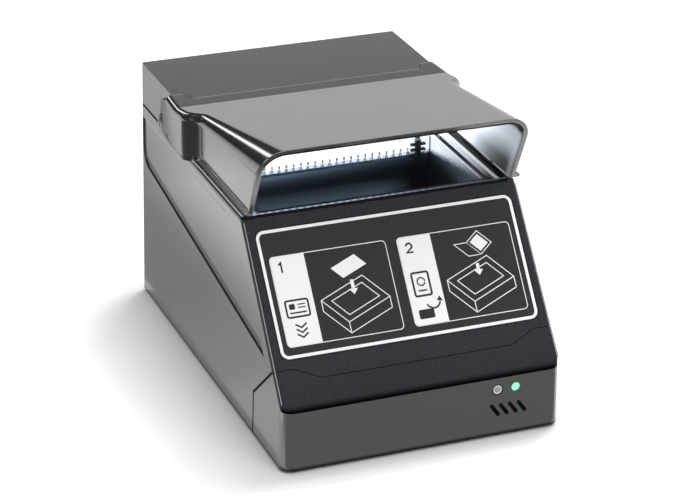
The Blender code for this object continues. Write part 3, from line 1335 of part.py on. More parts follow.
def clear_scene():
    """Remove what the file already holds."""
    for item in list(bpy.data.objects):
        bpy.data.objects.remove(item)


def build_case(datum):
    """Everything that stays still."""
    base_tray(datum)
    body_shell(datum)
    rear_panel(datum)
    rear_head_cover(datum)
    front_bumper(datum)
    chin_panel(datum)
    slope_panel(datum)
    instruction_label(datum)
    scan_glass(datum)
    glass_gasket(datum)
    glass_frame(datum)
    optical_chamber(datum)
    led_board("rear_led_board", CHAMBER_REAR, -1, datum)
    led_board("front_led_board", CHAMBER_FRONT, 1, datum)
    led_clip("led_clip_left", -1, datum)
    led_clip("led_clip_right", 1, datum)
    mirror(datum)
    mirror_bracket(datum)
    camera_bracket(datum)
    camera_board(datum)
    lens_barrel(datum)
    camera_lens(datum)
    main_board(datum)
    usb_socket(datum)
    power_socket(datum)
    antenna_board(datum)
    indicator_board(datum)
    idle_out, ready_out = lamp_places()
    status_lamp("status_lamp_idle", idle_out, LAMP_GREY, datum)
    status_lamp("status_lamp_ready", ready_out, LAMP_GREEN, datum)
    sounder(datum)
    rating_plate(datum)
    for words, out, back in corners(FOOT_INSET):
        foot("foot_" + words, out, back, datum)
    for words, out, back in corners(CORNER_BOSS_INSET):
        screw("base_screw_" + words, (out, back, 0), datum)
    for hand, side in (("left", -1), ("right", 1)):
        low = DECK_HEIGHT - WALL - GAP - SCREW_HEAD
        screw("head_screw_" + hand, (side * HEAD_SCREW_OUT, HEAD_SCREW_BACK, low), datum)
        hinge_screw("hinge_screw_" + hand, side, datum)


def build_hood(pivot):
    """Everything that turns with the hood."""
    hood_shell(pivot)
    for hand, side in (("left", -1), ("right", 1)):
        hinge_bush("hinge_bush_" + hand, side, pivot)
        hood_pad("hood_pad_" + hand, side, pivot)


def main():
    """Build the reader."""
    clear_scene()
    bpy.context.scene.collection.children.link(PARTS)
    bpy.context.scene.collection.children.link(CUTTERS)
    datum = add_empty("case_datum", (0, -CASE_DEPTH / 2, FOOT_STAND))
    pivot = add_empty("hood_pivot", (0, HINGE_BACK, HINGE_HEIGHT), datum)
    pivot["offset"] = (0, -HINGE_BACK, -HINGE_HEIGHT)
    build_case(datum)
    build_hood(pivot)


main()
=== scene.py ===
"""Looks of a passport reader with a folding light hood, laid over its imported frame.

Meshes are drawn in case millimetres: x from the middle, y back from the front
face, z up from the underside. Placing a piece turns them into frame metres.
"""
import logging
import math
from dataclasses import dataclass, field
from enum import Enum
from functools import cached_property
from typing import Mapping, Sequence

import bmesh
import bpy
from mathutils import Matrix, Vector


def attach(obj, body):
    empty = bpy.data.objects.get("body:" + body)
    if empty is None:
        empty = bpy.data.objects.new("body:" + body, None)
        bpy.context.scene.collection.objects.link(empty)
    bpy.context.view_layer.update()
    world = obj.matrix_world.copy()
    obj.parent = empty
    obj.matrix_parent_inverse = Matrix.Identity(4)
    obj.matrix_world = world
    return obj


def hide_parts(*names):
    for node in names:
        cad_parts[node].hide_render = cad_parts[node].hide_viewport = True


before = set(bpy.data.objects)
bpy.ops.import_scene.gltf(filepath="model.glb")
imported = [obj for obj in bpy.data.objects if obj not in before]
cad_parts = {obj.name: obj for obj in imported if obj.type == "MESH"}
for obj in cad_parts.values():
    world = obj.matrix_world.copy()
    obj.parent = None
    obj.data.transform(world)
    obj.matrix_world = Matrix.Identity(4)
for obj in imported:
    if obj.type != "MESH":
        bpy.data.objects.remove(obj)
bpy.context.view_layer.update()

LOG = logging.getLogger("reader")
MM = 0.001
ORIGIN = Vector((0.0, -0.131, 0.0015))
TO_FRAME = Matrix.Translation(ORIGIN) @ Matrix.Diagonal((MM, MM, MM, 1.0))
WHITE = (1.0, 1.0, 1.0, 1.0)
BLACK = (0.0, 0.0, 0.0, 1.0)
EVEN = (0.3, 0.7)

Colour = tuple[float, float, float]
Place = tuple[float, float, float]
Flat = tuple[float, float]
Ring = Sequence[Sequence[float]]
Noise = tuple[float, float]
Tones = tuple[float, float, float, float]
Socket = bpy.types.NodeSocket


class Body(Enum):
    """Bodies of the frame that pieces ride on."""

    BASE = "base"
    HOOD = "hood"


class Slot(Enum):
    """Names of material slots."""

    CASE = "case_paint"
    HEAD = "head_paint"
    MATT = "black_matt"
    PRINT = "label_print"
    GLASS = "clear_glass"
    LAMPS = "board_white"
    RUBBER = "rubber"
    IDLE = "lamp_grey"
    READY = "lamp_green"


class Side(Enum):
    """Left and right of the reader, seen from the front."""

    LEFT = -1
    RIGHT = 1


def toned(colour: Colour, factor: float) -> Colour:
    """A colour made lighter or darker."""
    return tuple(min(channel * factor, 1.0) for channel in colour)


class Canvas:
    """Nodes of a material or world, with the few steps that the finishes share."""

    def __init__(self, owner: bpy.types.Material | bpy.types.World, shader: str = "Principled BSDF") -> None:
        """Start on the owner's nodes.

        Args:
            owner: The material or world.
            shader: Name of its shader node.
        """
        owner.use_nodes = True
        self.tree = owner.node_tree
        self.shader = self.tree.nodes[shader]

    @cached_property
    def where(self) -> Socket:
        """Object coordinates."""
        return self.node("TexCoord", "Object", {})

    def fill(self, node: bpy.types.Node, inputs: Mapping[str | int, object]) -> None:
        """Link or set a node's inputs.

        Args:
            node: The node.
            inputs: A socket to link or a value to set, by the input's name or number.
        """
        for name, value in inputs.items():
            if isinstance(value, Socket):
                self.tree.links.new(value, node.inputs[name])
            else:
                node.inputs[name].default_value = value

    def node(self, kind: str, result: str, inputs: Mapping[str | int, object], **settings: object) -> Socket:
        """Add a node.

        Args:
            kind: Its type, without the prefix.
            result: Name of the output to give.
            inputs: What its inputs take.
            settings: What its own properties take.

        Returns:
            The output.
        """
        node = self.tree.nodes.new("ShaderNode" + kind)
        for name, value in settings.items():
            setattr(node, name, value)
        self.fill(node, inputs)
        return node.outputs[result]

    def dress(self, **values: object) -> None:
        """Link or set the shader's own sockets, named with underscores for spaces."""
        self.fill(self.shader, {name.replace("_", " "): value for name, value in values.items()})

    def axis(self, name: str) -> Socket:
        """One object coordinate.

        Args:
            name: X, Y or Z, or OUT for the distance from the middle.

        Returns:
            The coordinate in metres.
        """
        if name == "OUT":
            return self.reckon("ABSOLUTE", self.axis("X"))
        return self.node("SeparateXYZ", name, {"Vector": self.where})

    def noise(self, scale: float, detail: float = 2.0, stretch: Place = (1.0, 1.0, 1.0)) -> Socket:
        """Soft noise from 0 to 1, in features per metre stretched along each axis."""
        where = self.node("Mapping", "Vector", {"Scale": stretch, "Vector": self.where})
        return self.node("TexNoise", "Fac", {"Scale": scale, "Detail": detail, "Vector": where})

    def cells(self, scale: float, edges: bool = False) -> Socket:
        """Distance to the middle of cells, such as leather grain, or else to their edges."""
        feature = "DISTANCE_TO_EDGE" if edges else "F1"
        return self.node("TexVoronoi", "Distance", {"Scale": scale, "Vector": self.where}, feature=feature)

    def ramp(self, source: Socket, stops: Sequence[tuple[float, Colour]]) -> Socket:
        """Colours spread over a value.

        Args:
            source: The value.
            stops: Positions from 0 to 1, each with a colour.

        Returns:
            The colour.
        """
        result = self.node("ValToRGB", "Color", {"Fac": source})
        marks = result.node.color_ramp.elements
        while len(marks) < len(stops):
            marks.new(0.5)
        for mark, (place, colour) in zip(marks, stops):
            mark.position = place
            mark.color = (*colour, 1.0)
        return result

    def tones(
        self, source: Socket, colour: Colour, low: float, high: float, start: float = 0.3, end: float = 0.7
    ) -> Socket:
        """Two tones of one colour, low and high, spread over a value from start to end."""
        return self.ramp(source, [(start, toned(colour, low)), (end, toned(colour, high))])

    def spread(
        self, source: Socket, low: float, high: float, start: float = 0.3, end: float = 0.7
    ) -> Socket:
        """A value mapped from start and end to low and high, and held there beyond them."""
        limits = {"From Min": start, "From Max": end, "To Min": low, "To Max": high}
        return self.node("MapRange", "Result", {**limits, "Value": source})

    def about(self, source: Socket, middle: float, under: float, over: float, *reach: float) -> Socket:
        """A value spread from under to over a middle one, within a reach of the source."""
        return self.spread(source, middle + under, middle + over, *reach)

    def zone(self, axis: str, low: float, high: float, start: float, end: float) -> Socket:
        """Low and high spread along an axis between two places in case millimetres."""
        shift = {"Y": ORIGIN.y, "Z": ORIGIN.z}.get(axis, 0.0)
        return self.spread(self.axis(axis), low, high, start * MM + shift, end * MM + shift)

    def mix(self, share: Socket, first: Socket, second: Socket) -> Socket:
        """A blend of two colours: the first at a share of 0, the second at 1."""
        return self.node("Mix", "Result", {"Factor": share, "A": first, "B": second}, data_type="RGBA")

    def reckon(self, operation: str, first: Socket, *others: Socket | float) -> Socket:
        """Arithmetic on values, taken in turn.

        Args:
            operation: Its name, such as MULTIPLY.
            first: The first value.
            others: The values that follow, if any.

        Returns:
            The result.
        """
        for other in others or (0.0,):
            first = self.node("Math", "Value", {0: first, 1: other}, operation=operation)
        return first

    def times(self, *values: Socket | float) -> Socket:
        """The product of values."""
        return self.reckon("MULTIPLY", *values)

    def plus(self, *values: Socket | float) -> Socket:
        """The sum of values."""
        return self.reckon("ADD", *values)

    def relief(self, *layers: tuple[Socket, float, float]) -> None:
        """Raise the surface by layers of bump.

        Args:
            layers: Each a height, a strength and a distance in metres.
        """
        below = {}
        for height, strength, distance in layers:
            bump = {"Strength": strength, "Distance": distance, "Height": height, **below}
            below = {"Normal": self.node("Bump", "Normal", bump)}
        self.dress(**below)


@dataclass(frozen=True)
class Finish:
    """Look of one material; each kind of finish lays its own nodes."""

    name: str

    @cached_property
    def material(self) -> bpy.types.Material:
        """The material, made when it is first asked for.

        Returns:
            The material.
        """
        material = bpy.data.materials.new(self.name)
        self.paint(Canvas(material))
        return material

    def paint(self, canvas: Canvas) -> None:
        """Lay the nodes on the material's canvas."""
        raise NotImplementedError


@dataclass(frozen=True)
class Paint(Finish):
    """Satin metallic lacquer with a fine grain and faint clouds, and painted shade near its foot, below a
    height in millimetres.
    """

    colour: Colour
    metallic: float = 0.9
    rough: float = 0.3
    shade_sill: float = 0.0
    flakes: Noise = (2600.0, 2.0)
    flake_tones: Tones = (0.88, 1.13, 0.3, 0.72)
    clouds: Noise = (9.0, 3.0)
    cloud_tones: Flat = (0.98, 1.02)
    patches: Noise = (700.0, 2.0)
    patch_share: Flat = (0.25, 0.55)
    smears: Noise = (60.0, 4.0)
    smear_rough: Flat = (-0.012, 0.015)
    shade_sill_tones: Flat = (0.13, 0.16)
    bump: Flat = (0.08, 0.00005)

    def paint(self, canvas: Canvas) -> None:
        """Lay the lacquer.

        Args:
            canvas: The material's nodes.
        """
        cloud, flake = canvas.noise(*self.clouds), canvas.noise(*self.flakes)
        share = canvas.spread(canvas.noise(*self.patches), *self.patch_share)
        tone = canvas.mix(share, canvas.tones(cloud, self.colour, *self.cloud_tones),
                          canvas.tones(flake, self.colour, *self.flake_tones))
        if self.shade_sill:
            # Painted shade: the lacquer turns dark towards the underside, for the shadow where the case
            # meets the floor.
            low = canvas.zone("Z", 1.0, 0.0, self.shade_sill / 3, self.shade_sill)
            tone = canvas.mix(low, tone, canvas.tones(cloud, self.colour, *self.shade_sill_tones))
        canvas.relief((flake, *self.bump))
        canvas.dress(Base_Color=tone, Metallic=self.metallic,
                     Roughness=canvas.about(canvas.noise(*self.smears), self.rough, *self.smear_rough))


@dataclass(frozen=True)
class Grain(Finish):
    """Moulded plastic with a leather grain and painted shade just over its foot, where it turns under."""

    colour: Colour
    pebble: float = 1100.0
    pebble_tones: Tones = (1.35, 0.6, 0.1, 0.75)
    crease: float = 605.0
    clouds: Noise = (45.0, 4.0)
    cloud_tones: Flat = (0.85, 1.2)
    patches: Noise = (300.0, 2.0)
    patch_share: Flat = (0.4, 0.8)
    rough: float = 0.42
    pebble_rough: Tones = (-0.08, 0.12, 0.1, 0.8)
    depth: float = 0.5
    bumps: Flat = (0.00018, 0.00012)
    shine: float = 0.3
    foot: float = 36.5
    turn: float = 3.4
    foot_shade_tones: Flat = (0.03, 0.05)
    foot_shade_deep: float = 0.05
    foot_shade_broad: float = 0.85

    def paint(self, canvas: Canvas) -> None:
        """Lay the grained plastic.

        Args:
            canvas: The material's nodes.
        """
        pebbles, creases = canvas.cells(self.pebble), canvas.cells(self.crease, edges=True)
        cloud, foot, turn = canvas.noise(*self.clouds), self.foot, self.turn
        # Painted shade: colour and shine fall away over the foot, where the panel turns under.
        rise = canvas.times(canvas.zone("Z", self.foot_shade_deep, 1.0, foot + turn / 4, foot + turn),
                            canvas.zone("Z", self.foot_shade_broad, 1.0, foot, foot + 5 * turn))
        share = canvas.spread(canvas.noise(*self.patches), *self.patch_share)
        tone = canvas.mix(share, canvas.tones(cloud, self.colour, *self.cloud_tones),
                          canvas.tones(pebbles, self.colour, *self.pebble_tones))
        tone = canvas.mix(rise, canvas.tones(cloud, self.colour, *self.foot_shade_tones), tone)
        canvas.relief((creases, self.depth, self.bumps[0]), (pebbles, -self.depth, self.bumps[1]))
        canvas.dress(Base_Color=tone, Specular_IOR_Level=canvas.times(rise, self.shine),
                     Roughness=canvas.about(pebbles, self.rough, *self.pebble_rough))


@dataclass(frozen=True)
class Moulded(Finish):
    """Matt plastic or rubber with a spark-eroded texture."""

    colour: Colour
    rough: float = 0.6
    texture: float = 1800.0
    texture_detail: float = 3.0
    texture_tones: Tones = (0.75, 1.25, 0.35, 0.7)
    texture_rough: Flat = (-0.06, 0.08)
    clouds: Noise = (30.0, 4.0)
    cloud_tones: Flat = (0.88, 1.12)
    bump: Flat = (0.3, 0.00008)
    shine: float = 0.4
    glow: float = 0.0

    def paint(self, canvas: Canvas) -> None:
        """Lay the plastic.

        Args:
            canvas: The material's nodes.
        """
        fine, cloud = canvas.noise(self.texture, self.texture_detail), canvas.noise(*self.clouds)
        tone = canvas.mix(canvas.spread(fine, *EVEN), canvas.tones(cloud, self.colour, *self.cloud_tones),
                          canvas.tones(fine, self.colour, *self.texture_tones))
        canvas.relief((fine, *self.bump))
        canvas.dress(Base_Color=tone, Roughness=canvas.about(fine, self.rough, *self.texture_rough),
                     Specular_IOR_Level=self.shine)
        # A glow is painted light, for parts that the lamps beside them light.
        if self.glow:
            canvas.dress(Emission_Color=(*self.colour, 1.0), Emission_Strength=self.glow)


@dataclass(frozen=True)
class Metal(Finish):
    """Brushed or turned metal with fine scratches along one axis."""

    colour: Colour
    rough: float = 0.32
    brush: Place = (8.0, 400.0, 400.0)
    scratches: Noise = (6.0, 5.0)
    scratch_tones: Flat = (0.8, 1.15)
    scratch_rough: Flat = (-0.08, 0.12)
    stains: Noise = (80.0, 4.0)
    stain_tones: Tones = (0.86, 1.08, 0.3, 0.75)
    bump: Flat = (0.2, 0.00003)

    def paint(self, canvas: Canvas) -> None:
        """Lay the metal.

        Args:
            canvas: The material's nodes.
        """
        lines, stain = canvas.noise(*self.scratches, self.brush), canvas.noise(*self.stains)
        tone = canvas.mix(canvas.spread(stain, *EVEN), canvas.tones(stain, self.colour, *self.stain_tones),
                          canvas.tones(lines, self.colour, *self.scratch_tones))
        canvas.relief((lines, *self.bump))
        canvas.dress(Base_Color=tone, Metallic=1.0,
                     Roughness=canvas.about(lines, self.rough, *self.scratch_rough))


@dataclass(frozen=True)
class Pane(Finish):
    """Clear or tinted glass with faint dust and wiping marks."""

    colour: Colour = (0.93, 0.96, 1.0)
    rough: float = 0.015
    bend: float = 1.06
    wipes: Noise = (25.0, 5.0)
    wipe_stretch: Place = (1.0, 4.0, 1.0)
    wipe_tones: Flat = (0.97, 1.0)
    wipe_rough: Tones = (0.0, 0.03, 0.45, 0.75)
    waves: Noise = (14.0, 1.0)
    bump: Flat = (0.01, 0.0001)

    def paint(self, canvas: Canvas) -> None:
        """Lay the glass.

        Args:
            canvas: The material's nodes.
        """
        wipes = canvas.noise(*self.wipes, self.wipe_stretch)
        canvas.relief((canvas.noise(*self.waves), *self.bump))
        canvas.dress(Base_Color=canvas.tones(wipes, self.colour, *self.wipe_tones),
                     Roughness=canvas.about(wipes, self.rough, *self.wipe_rough),
                     Transmission_Weight=1.0, IOR=self.bend)


@dataclass(frozen=True)
class Film(Finish):
    """Printed film with a soft, very fine texture."""

    colour: Colour
    rough: float = 0.42
    shine: float = 0.3
    dots: float = 3200.0
    dot_share: Tones = (0.2, 0.6, 0.3, 0.7)
    dot_tones: Tones = (1.06, 0.92, 0.1, 0.7)
    clouds: Noise = (22.0, 3.0)
    cloud_tones: Flat = (0.96, 1.03)
    cloud_rough: Flat = (-0.04, 0.05)
    texture: Noise = (1500.0, 2.0)
    bump: Flat = (0.1, 0.00003)

    def paint(self, canvas: Canvas) -> None:
        """Lay the printed film.

        Args:
            canvas: The material's nodes.
        """
        dots, cloud = canvas.cells(self.dots), canvas.noise(*self.clouds)
        tone = canvas.mix(canvas.spread(dots, *self.dot_share),
                          canvas.tones(cloud, self.colour, *self.cloud_tones),
                          canvas.tones(dots, self.colour, *self.dot_tones))
        canvas.relief((canvas.noise(*self.texture), *self.bump))
        canvas.dress(Base_Color=tone, Roughness=canvas.about(cloud, self.rough, *self.cloud_rough),
                     Specular_IOR_Level=self.shine)


@dataclass(frozen=True)
class Board(Finish):
    """Circuit board with lacquered tracks and a woven base."""

    colour: Colour
    track: Colour
    tracks: float = 260.0
    track_edge: Flat = (0.05, 0.09)
    weave: Noise = (900.0, 1.0)
    weave_stretch: Place = (1.0, 6.0, 1.0)
    weave_share: Flat = (0.2, 0.5)
    weave_tones: Flat = (0.8, 1.2)
    weave_rough: Flat = (0.35, 0.55)
    bump: Flat = (0.2, 0.00005)

    def paint(self, canvas: Canvas) -> None:
        """Lay the board.

        Args:
            canvas: The material's nodes.
        """
        tracks = canvas.cells(self.tracks, edges=True)
        weave = canvas.noise(*self.weave, self.weave_stretch)
        lay = canvas.ramp(tracks, list(zip(self.track_edge, (self.track, self.colour))))
        tone = canvas.mix(canvas.spread(weave, *self.weave_share), lay,
                          canvas.tones(weave, self.colour, *self.weave_tones))
        canvas.relief((tracks, *self.bump))
        canvas.dress(Base_Color=tone, Roughness=canvas.spread(weave, *self.weave_rough))


@dataclass(frozen=True)
class Lit(Finish):
    """Plastic that shines, brightest in the middle of each grain."""

    colour: Colour
    strength: float
    body: Colour = (0.8, 0.85, 0.85)
    grain: Noise = (600.0, 3.0)
    shine_tones: Tones = (0.85, 1.0, 0.25, 0.7)
    body_tones: Flat = (0.9, 1.0)
    grain_rough: Flat = (0.25, 0.4)
    bump: Flat = (0.15, 0.00005)

    def paint(self, canvas: Canvas) -> None:
        """Lay the shining plastic.

        Args:
            canvas: The material's nodes.
        """
        grain = canvas.noise(*self.grain)
        canvas.relief((grain, *self.bump))
        canvas.dress(Emission_Color=canvas.tones(grain, self.colour, *self.shine_tones),
                     Base_Color=canvas.tones(grain, self.body, *self.body_tones),
                     Roughness=canvas.spread(grain, *self.grain_rough), Emission_Strength=self.strength)


@dataclass(frozen=True)
class Lining(Finish):
    """Inner face of the hood: satin slate, with painted light near the lamps and the rim and painted shade
    low in the middle.

    Lengths are in case millimetres; those of the zones behind the rim count along a lean of one in two.
    """

    colour: Colour = (0.235, 0.25, 0.27)
    wall: float = 79.2
    wall_turn: Flat = (1.6, 0.1)
    rim: float = 130.0
    rim_light_zone: Flat = (2.0, 8.0)
    rim_light_share: Flat = (0.6, 0.0)
    lamp_light_zone: Flat = (16.0, 72.0)
    lamp_light_share: Flat = (0.17, 1.0)
    ceiling_light_zone: Flat = (137.0, 152.0)
    ceiling_light_share: Flat = (0.0, 0.8)
    tones: Tones = (0.03, 1.0, 0.0, 1.0)
    specks: Noise = (1500.0, 3.0)
    speck_share: Flat = (-0.05, 0.05)
    speck_rough: Flat = (0.38, 0.55)
    bump: Flat = (0.5, 0.00012)
    shine: float = 0.2

    def paint(self, canvas: Canvas) -> None:
        """Lay the lining.

        Args:
            canvas: The material's nodes.
        """
        speck = canvas.noise(*self.specks)
        # Painted light: the side walls are pale near the rim, towards the lamps at the rear and high up;
        # elsewhere painted shade.
        behind = canvas.plus(canvas.axis("Y"), canvas.times(canvas.axis("Z"), 0.5))
        start = self.rim * MM + ORIGIN.y + ORIGIN.z / 2
        near = canvas.spread(behind, *self.rim_light_share, *(start + edge * MM for edge in self.rim_light_zone))
        far = canvas.spread(behind, *self.lamp_light_share, *(start + edge * MM for edge in self.lamp_light_zone))
        high = canvas.zone("Z", *self.ceiling_light_share, *self.ceiling_light_zone)
        rough = canvas.spread(speck, *self.speck_share)
        share = canvas.plus(near, canvas.reckon("POWER", far, 2.0), high, rough)
        side = canvas.zone("OUT", 0.0, 1.0, *(self.wall - turn for turn in self.wall_turn))
        canvas.relief((speck, *self.bump))
        canvas.dress(Base_Color=canvas.tones(canvas.times(share, side), self.colour, *self.tones),
                     Roughness=canvas.spread(speck, *self.speck_rough), Specular_IOR_Level=self.shine)


@dataclass(frozen=True)
class LitWall(Finish):
    """Dark wall whose upper part glows with painted light of the row, less and less towards the front.

    Lengths are in case millimetres. The haze and the pool are faint painted light further down.
    """

    colour: Colour = (0.002, 0.0025, 0.0035)
    rear: float = 160.0
    floor: float = 109.7
    rise: float = 0.131
    soft: float = 2.6
    widening: float = 0.08
    fall: Flat = (12.0, 85.0)
    fall_share: Flat = (1.0, 0.07)
    strength: float = 1.02
    near_painted_light: Colour = (0.93, 0.96, 1.0)
    far_painted_light: Colour = (0.5, 0.72, 1.0)
    haze: float = 0.27
    haze_least: float = 0.008
    haze_depth: float = 15.0
    haze_sides: Flat = (-70.0, 60.0)
    haze_share: Flat = (1.5, 0.1)
    pool: float = 0.1
    pool_depths: Flat = (25.0, 12.5)
    pool_backs: Flat = (150.0, 156.0)
    pool_sides: Flat = (38.0, 56.0)
    specks: Noise = (1300.0, 3.0)
    speck_share: Flat = (-0.4, 0.4)
    speck_tones: Flat = (0.7, 1.3)
    speck_rough: Flat = (0.45, 0.65)
    bump: Flat = (0.3, 0.0001)
    shine: float = 0.1

    def paint(self, canvas: Canvas) -> None:
        """Lay the wall.

        Args:
            canvas: The material's nodes.
        """
        speck = canvas.noise(*self.specks)
        # Painted light: emission laid by place stands in for the lamp row's light on the wall, with a haze
        # and a pool lower down.
        away = canvas.times(canvas.reckon("SUBTRACT", canvas.axis("Y"), self.rear * MM + ORIGIN.y), -1.0)
        level = canvas.reckon("SUBTRACT", canvas.axis("Z"), self.floor * MM + ORIGIN.z)
        over = canvas.reckon("SUBTRACT", level, canvas.times(away, self.rise))
        width = canvas.plus(canvas.times(away, self.widening), self.soft * MM)
        share = canvas.plus(canvas.reckon("DIVIDE", over, width), canvas.spread(speck, *self.speck_share))
        lit = canvas.spread(share, 0.0, 1.0, 0.0, 1.0)
        fall = canvas.spread(away, *self.fall_share, *(edge * MM for edge in self.fall))
        glow = canvas.times(lit, fall, self.strength)
        haze = canvas.zone("Z", 0.0, 1.0, self.floor - self.haze_depth, self.floor)
        haze = canvas.plus(canvas.times(canvas.reckon("POWER", haze, 4.0), self.haze), self.haze_least)
        haze = canvas.times(haze, canvas.zone("X", *self.haze_share, *self.haze_sides))
        pool = canvas.times(
            canvas.zone("Z", self.pool, 0.0, *(self.floor - depth for depth in self.pool_depths)),
            canvas.zone("Y", 0.0, 1.0, *self.pool_backs), canvas.zone("X", 1.0, 0.0, *self.pool_sides))
        canvas.relief((speck, *self.bump))
        canvas.dress(Emission_Strength=canvas.plus(glow, haze, pool),
                     Emission_Color=canvas.ramp(lit, [(0.0, self.far_painted_light), (0.6, self.near_painted_light)]),
                     Base_Color=canvas.tones(speck, self.colour, *self.speck_tones),
                     Roughness=canvas.spread(speck, *self.speck_rough), Specular_IOR_Level=self.shine)


@dataclass(frozen=True)
class LitRails(Finish):
    """Black frame whose ribs at each side, and a bar at the rear, glow with painted light of the row.

    Lengths are in case millimetres. A rib has an inner and an outer side, the share of
    the light that its front end keeps, and the height where its light ends.
    """

    colour: Colour = (0.012, 0.012, 0.013)
    ribs: tuple[tuple[float, float, float, float], ...] = (
        (69.4, 69.8, 0.12, 122.4), (71.3, 73.2, 0.03, 130.0), (73.5, 75.6, 0.4, 130.0))
    front: float = 80.0
    bright: float = 151.0
    bar: Flat = (159.5, 159.8)
    bar_end: Flat = (69.0, 69.4)
    rear: float = 160.2
    side_blur: float = 0.2
    blur: float = 0.3
    most: float = 1.3
    bar_most: float = 1.5
    specks: Noise = (1300.0, 3.0)
    speck_light: Flat = (0.85, 1.1)
    speck_tones: Flat = (0.7, 1.3)
    speck_rough: Flat = (0.5, 0.7)
    bump: Flat = (0.3, 0.00008)
    shine: float = 0.2
    lights: tuple[Colour, Colour] = ((0.88, 0.93, 1.0), (0.95, 0.97, 1.0))

    def paint(self, canvas: Canvas) -> None:
        """Lay the frame's plastic.

        Args:
            canvas: The material's nodes.
        """
        speck, lights = canvas.noise(*self.specks), []
        # Painted light: emission laid by place stands in for the lamp row's light on the ribs and the bar.
        for low, high, least, top in self.ribs:
            lights.append(canvas.times(
                canvas.zone("OUT", 0.0, 1.0, low - self.side_blur, low),
                canvas.zone("OUT", 1.0, 0.0, high, high + self.side_blur),
                canvas.zone("Y", least, self.most, self.front, self.bright),
                canvas.zone("Z", 1.0, 0.0, top, top + self.blur)))
        end = canvas.zone("OUT", 1.0, 0.0, *self.bar_end)
        lights.append(canvas.times(canvas.zone("Y", 0.0, self.bar_most, *self.bar), end))
        zone = canvas.zone("Y", 1.0, 0.0, self.rear, self.rear + self.blur)
        light = canvas.times(canvas.plus(*lights), zone, canvas.spread(speck, *self.speck_light))
        canvas.relief((speck, *self.bump))
        canvas.dress(Emission_Strength=light,
                     Emission_Color=canvas.ramp(speck, list(zip(EVEN, self.lights))),
                     Base_Color=canvas.tones(speck, self.colour, *self.speck_tones),
                     Roughness=canvas.spread(speck, *self.speck_rough), Specular_IOR_Level=self.shine)


@dataclass(frozen=True)
class GroundEdge(Finish):
    """Ground glass edge with painted light of the lamps broken into dashes, dimmer to the right."""

    colour: Colour = (0.32, 0.42, 0.55)
    dashes: float = 67.4
    waver: float = 0.6
    painted_lit_tones: Tones = (0.4, 1.0, 0.25, 0.65)
    painted_dim_tones: Flat = (0.12, 0.2)
    lights: tuple[Colour, Colour] = ((0.05, 0.07, 0.1), (0.2, 0.24, 0.3))
    dash_rough: Flat = (0.5, 0.2)
    bump: Flat = (0.2, 0.0001)
    painted_light_zone: Flat = (-20.0, 50.0)
    painted_glow_zone: Flat = (-30.0, 50.0)

    def paint(self, canvas: Canvas) -> None:
        """Lay the ground edge.

        Args:
            canvas: The material's nodes.
        """
        wave = {"Scale": self.dashes, "Distortion": self.waver, "Vector": canvas.where}
        dash = canvas.node("TexWave", "Fac", wave, bands_direction="X")
        # Painted light: the pale dashes and the emission stand in for the lamps' light in the ground edge,
        # fading to the right.
        along = canvas.zone("X", 0.0, 1.0, *self.painted_light_zone)
        tone = canvas.mix(along, canvas.tones(dash, self.colour, *self.painted_lit_tones),
                          canvas.tones(dash, self.colour, *self.painted_dim_tones))
        canvas.relief((dash, *self.bump))
        canvas.dress(Base_Color=tone, Roughness=canvas.spread(dash, *self.dash_rough),
                     Emission_Color=canvas.ramp(dash, list(zip(EVEN, self.lights))),
                     Emission_Strength=canvas.zone("X", 1.0, 0.1, *self.painted_glow_zone))


@dataclass(frozen=True)
class FloorPaper(Finish):
    """White paper that lifts to the background's white away from the reader's foot; close to the foot this
    falls off, a painted shadow.

    The foot's half width and half depth, and where the painted shadow starts and ends, are in metres.
    """

    half_width: float = 0.085
    half_depth: float = 0.131
    depth_weight: float = 2.0
    painted_shadow_lift: float = 0.36
    painted_shadow_zone: Flat = (0.002, 0.06)
    plain_tones: Flat = (0.86, 0.88)
    painted_reflection_tones: Flat = (0.72, 0.75)
    rough: float = 0.9
    clouds: Noise = (2.0, 2.0)

    def paint(self, canvas: Canvas) -> None:
        """Lay the paper.

        Args:
            canvas: The material's nodes.
        """
        cloud, white = canvas.noise(*self.clouds), (1.0, 1.0, 1.0)
        gloss, seen = (canvas.node("LightPath", ray, {}) for ray in ("Is Glossy Ray", "Is Camera Ray"))
        # Painted reflection: glossy rays see the paper darker than other rays do.
        tone = canvas.mix(gloss, canvas.tones(cloud, white, *self.plain_tones),
                          canvas.tones(cloud, white, *self.painted_reflection_tones))
        sides = []
        for axis, half, weight in (("X", self.half_width, 1.0), ("Y", self.half_depth, self.depth_weight)):
            past = canvas.reckon("SUBTRACT", canvas.reckon("ABSOLUTE", canvas.axis(axis)), half)
            past = canvas.times(canvas.reckon("MAXIMUM", past, 0.0), weight)
            sides.append(canvas.reckon("POWER", past, 2.0))
        away = canvas.reckon("SQRT", canvas.plus(*sides))
        # Painted shadow: the camera-only white is nothing at the reader's foot and grows away from it.
        painted_shadow_lift = canvas.times(seen, canvas.spread(away, 0.0, self.painted_shadow_lift, *self.painted_shadow_zone))
        canvas.dress(Base_Color=tone, Roughness=self.rough, Emission_Color=WHITE, Emission_Strength=painted_shadow_lift,
                     Specular_IOR_Level=0.0)


CASE = Paint("lacquer_case", (0.31, 0.306, 0.303), metallic=0.95, rough=0.16, shade_sill=2.6)
HEAD = Paint("lacquer_head", (0.285, 0.278, 0.272), metallic=0.95, rough=0.22)
# Paler lacquer of the wall lines: a painted highlight along them.
WALL_LINE_HIGHLIGHT = Paint("lacquer_painted_highlight", (0.42, 0.415, 0.41), rough=0.22)
# Darker lacquer of the groove: painted shade of the recess.
GROOVE_SHADE = Paint("lacquer_groove_painted_shade", (0.125, 0.122, 0.122))
LINING = Lining("hood_lining_painted_light")
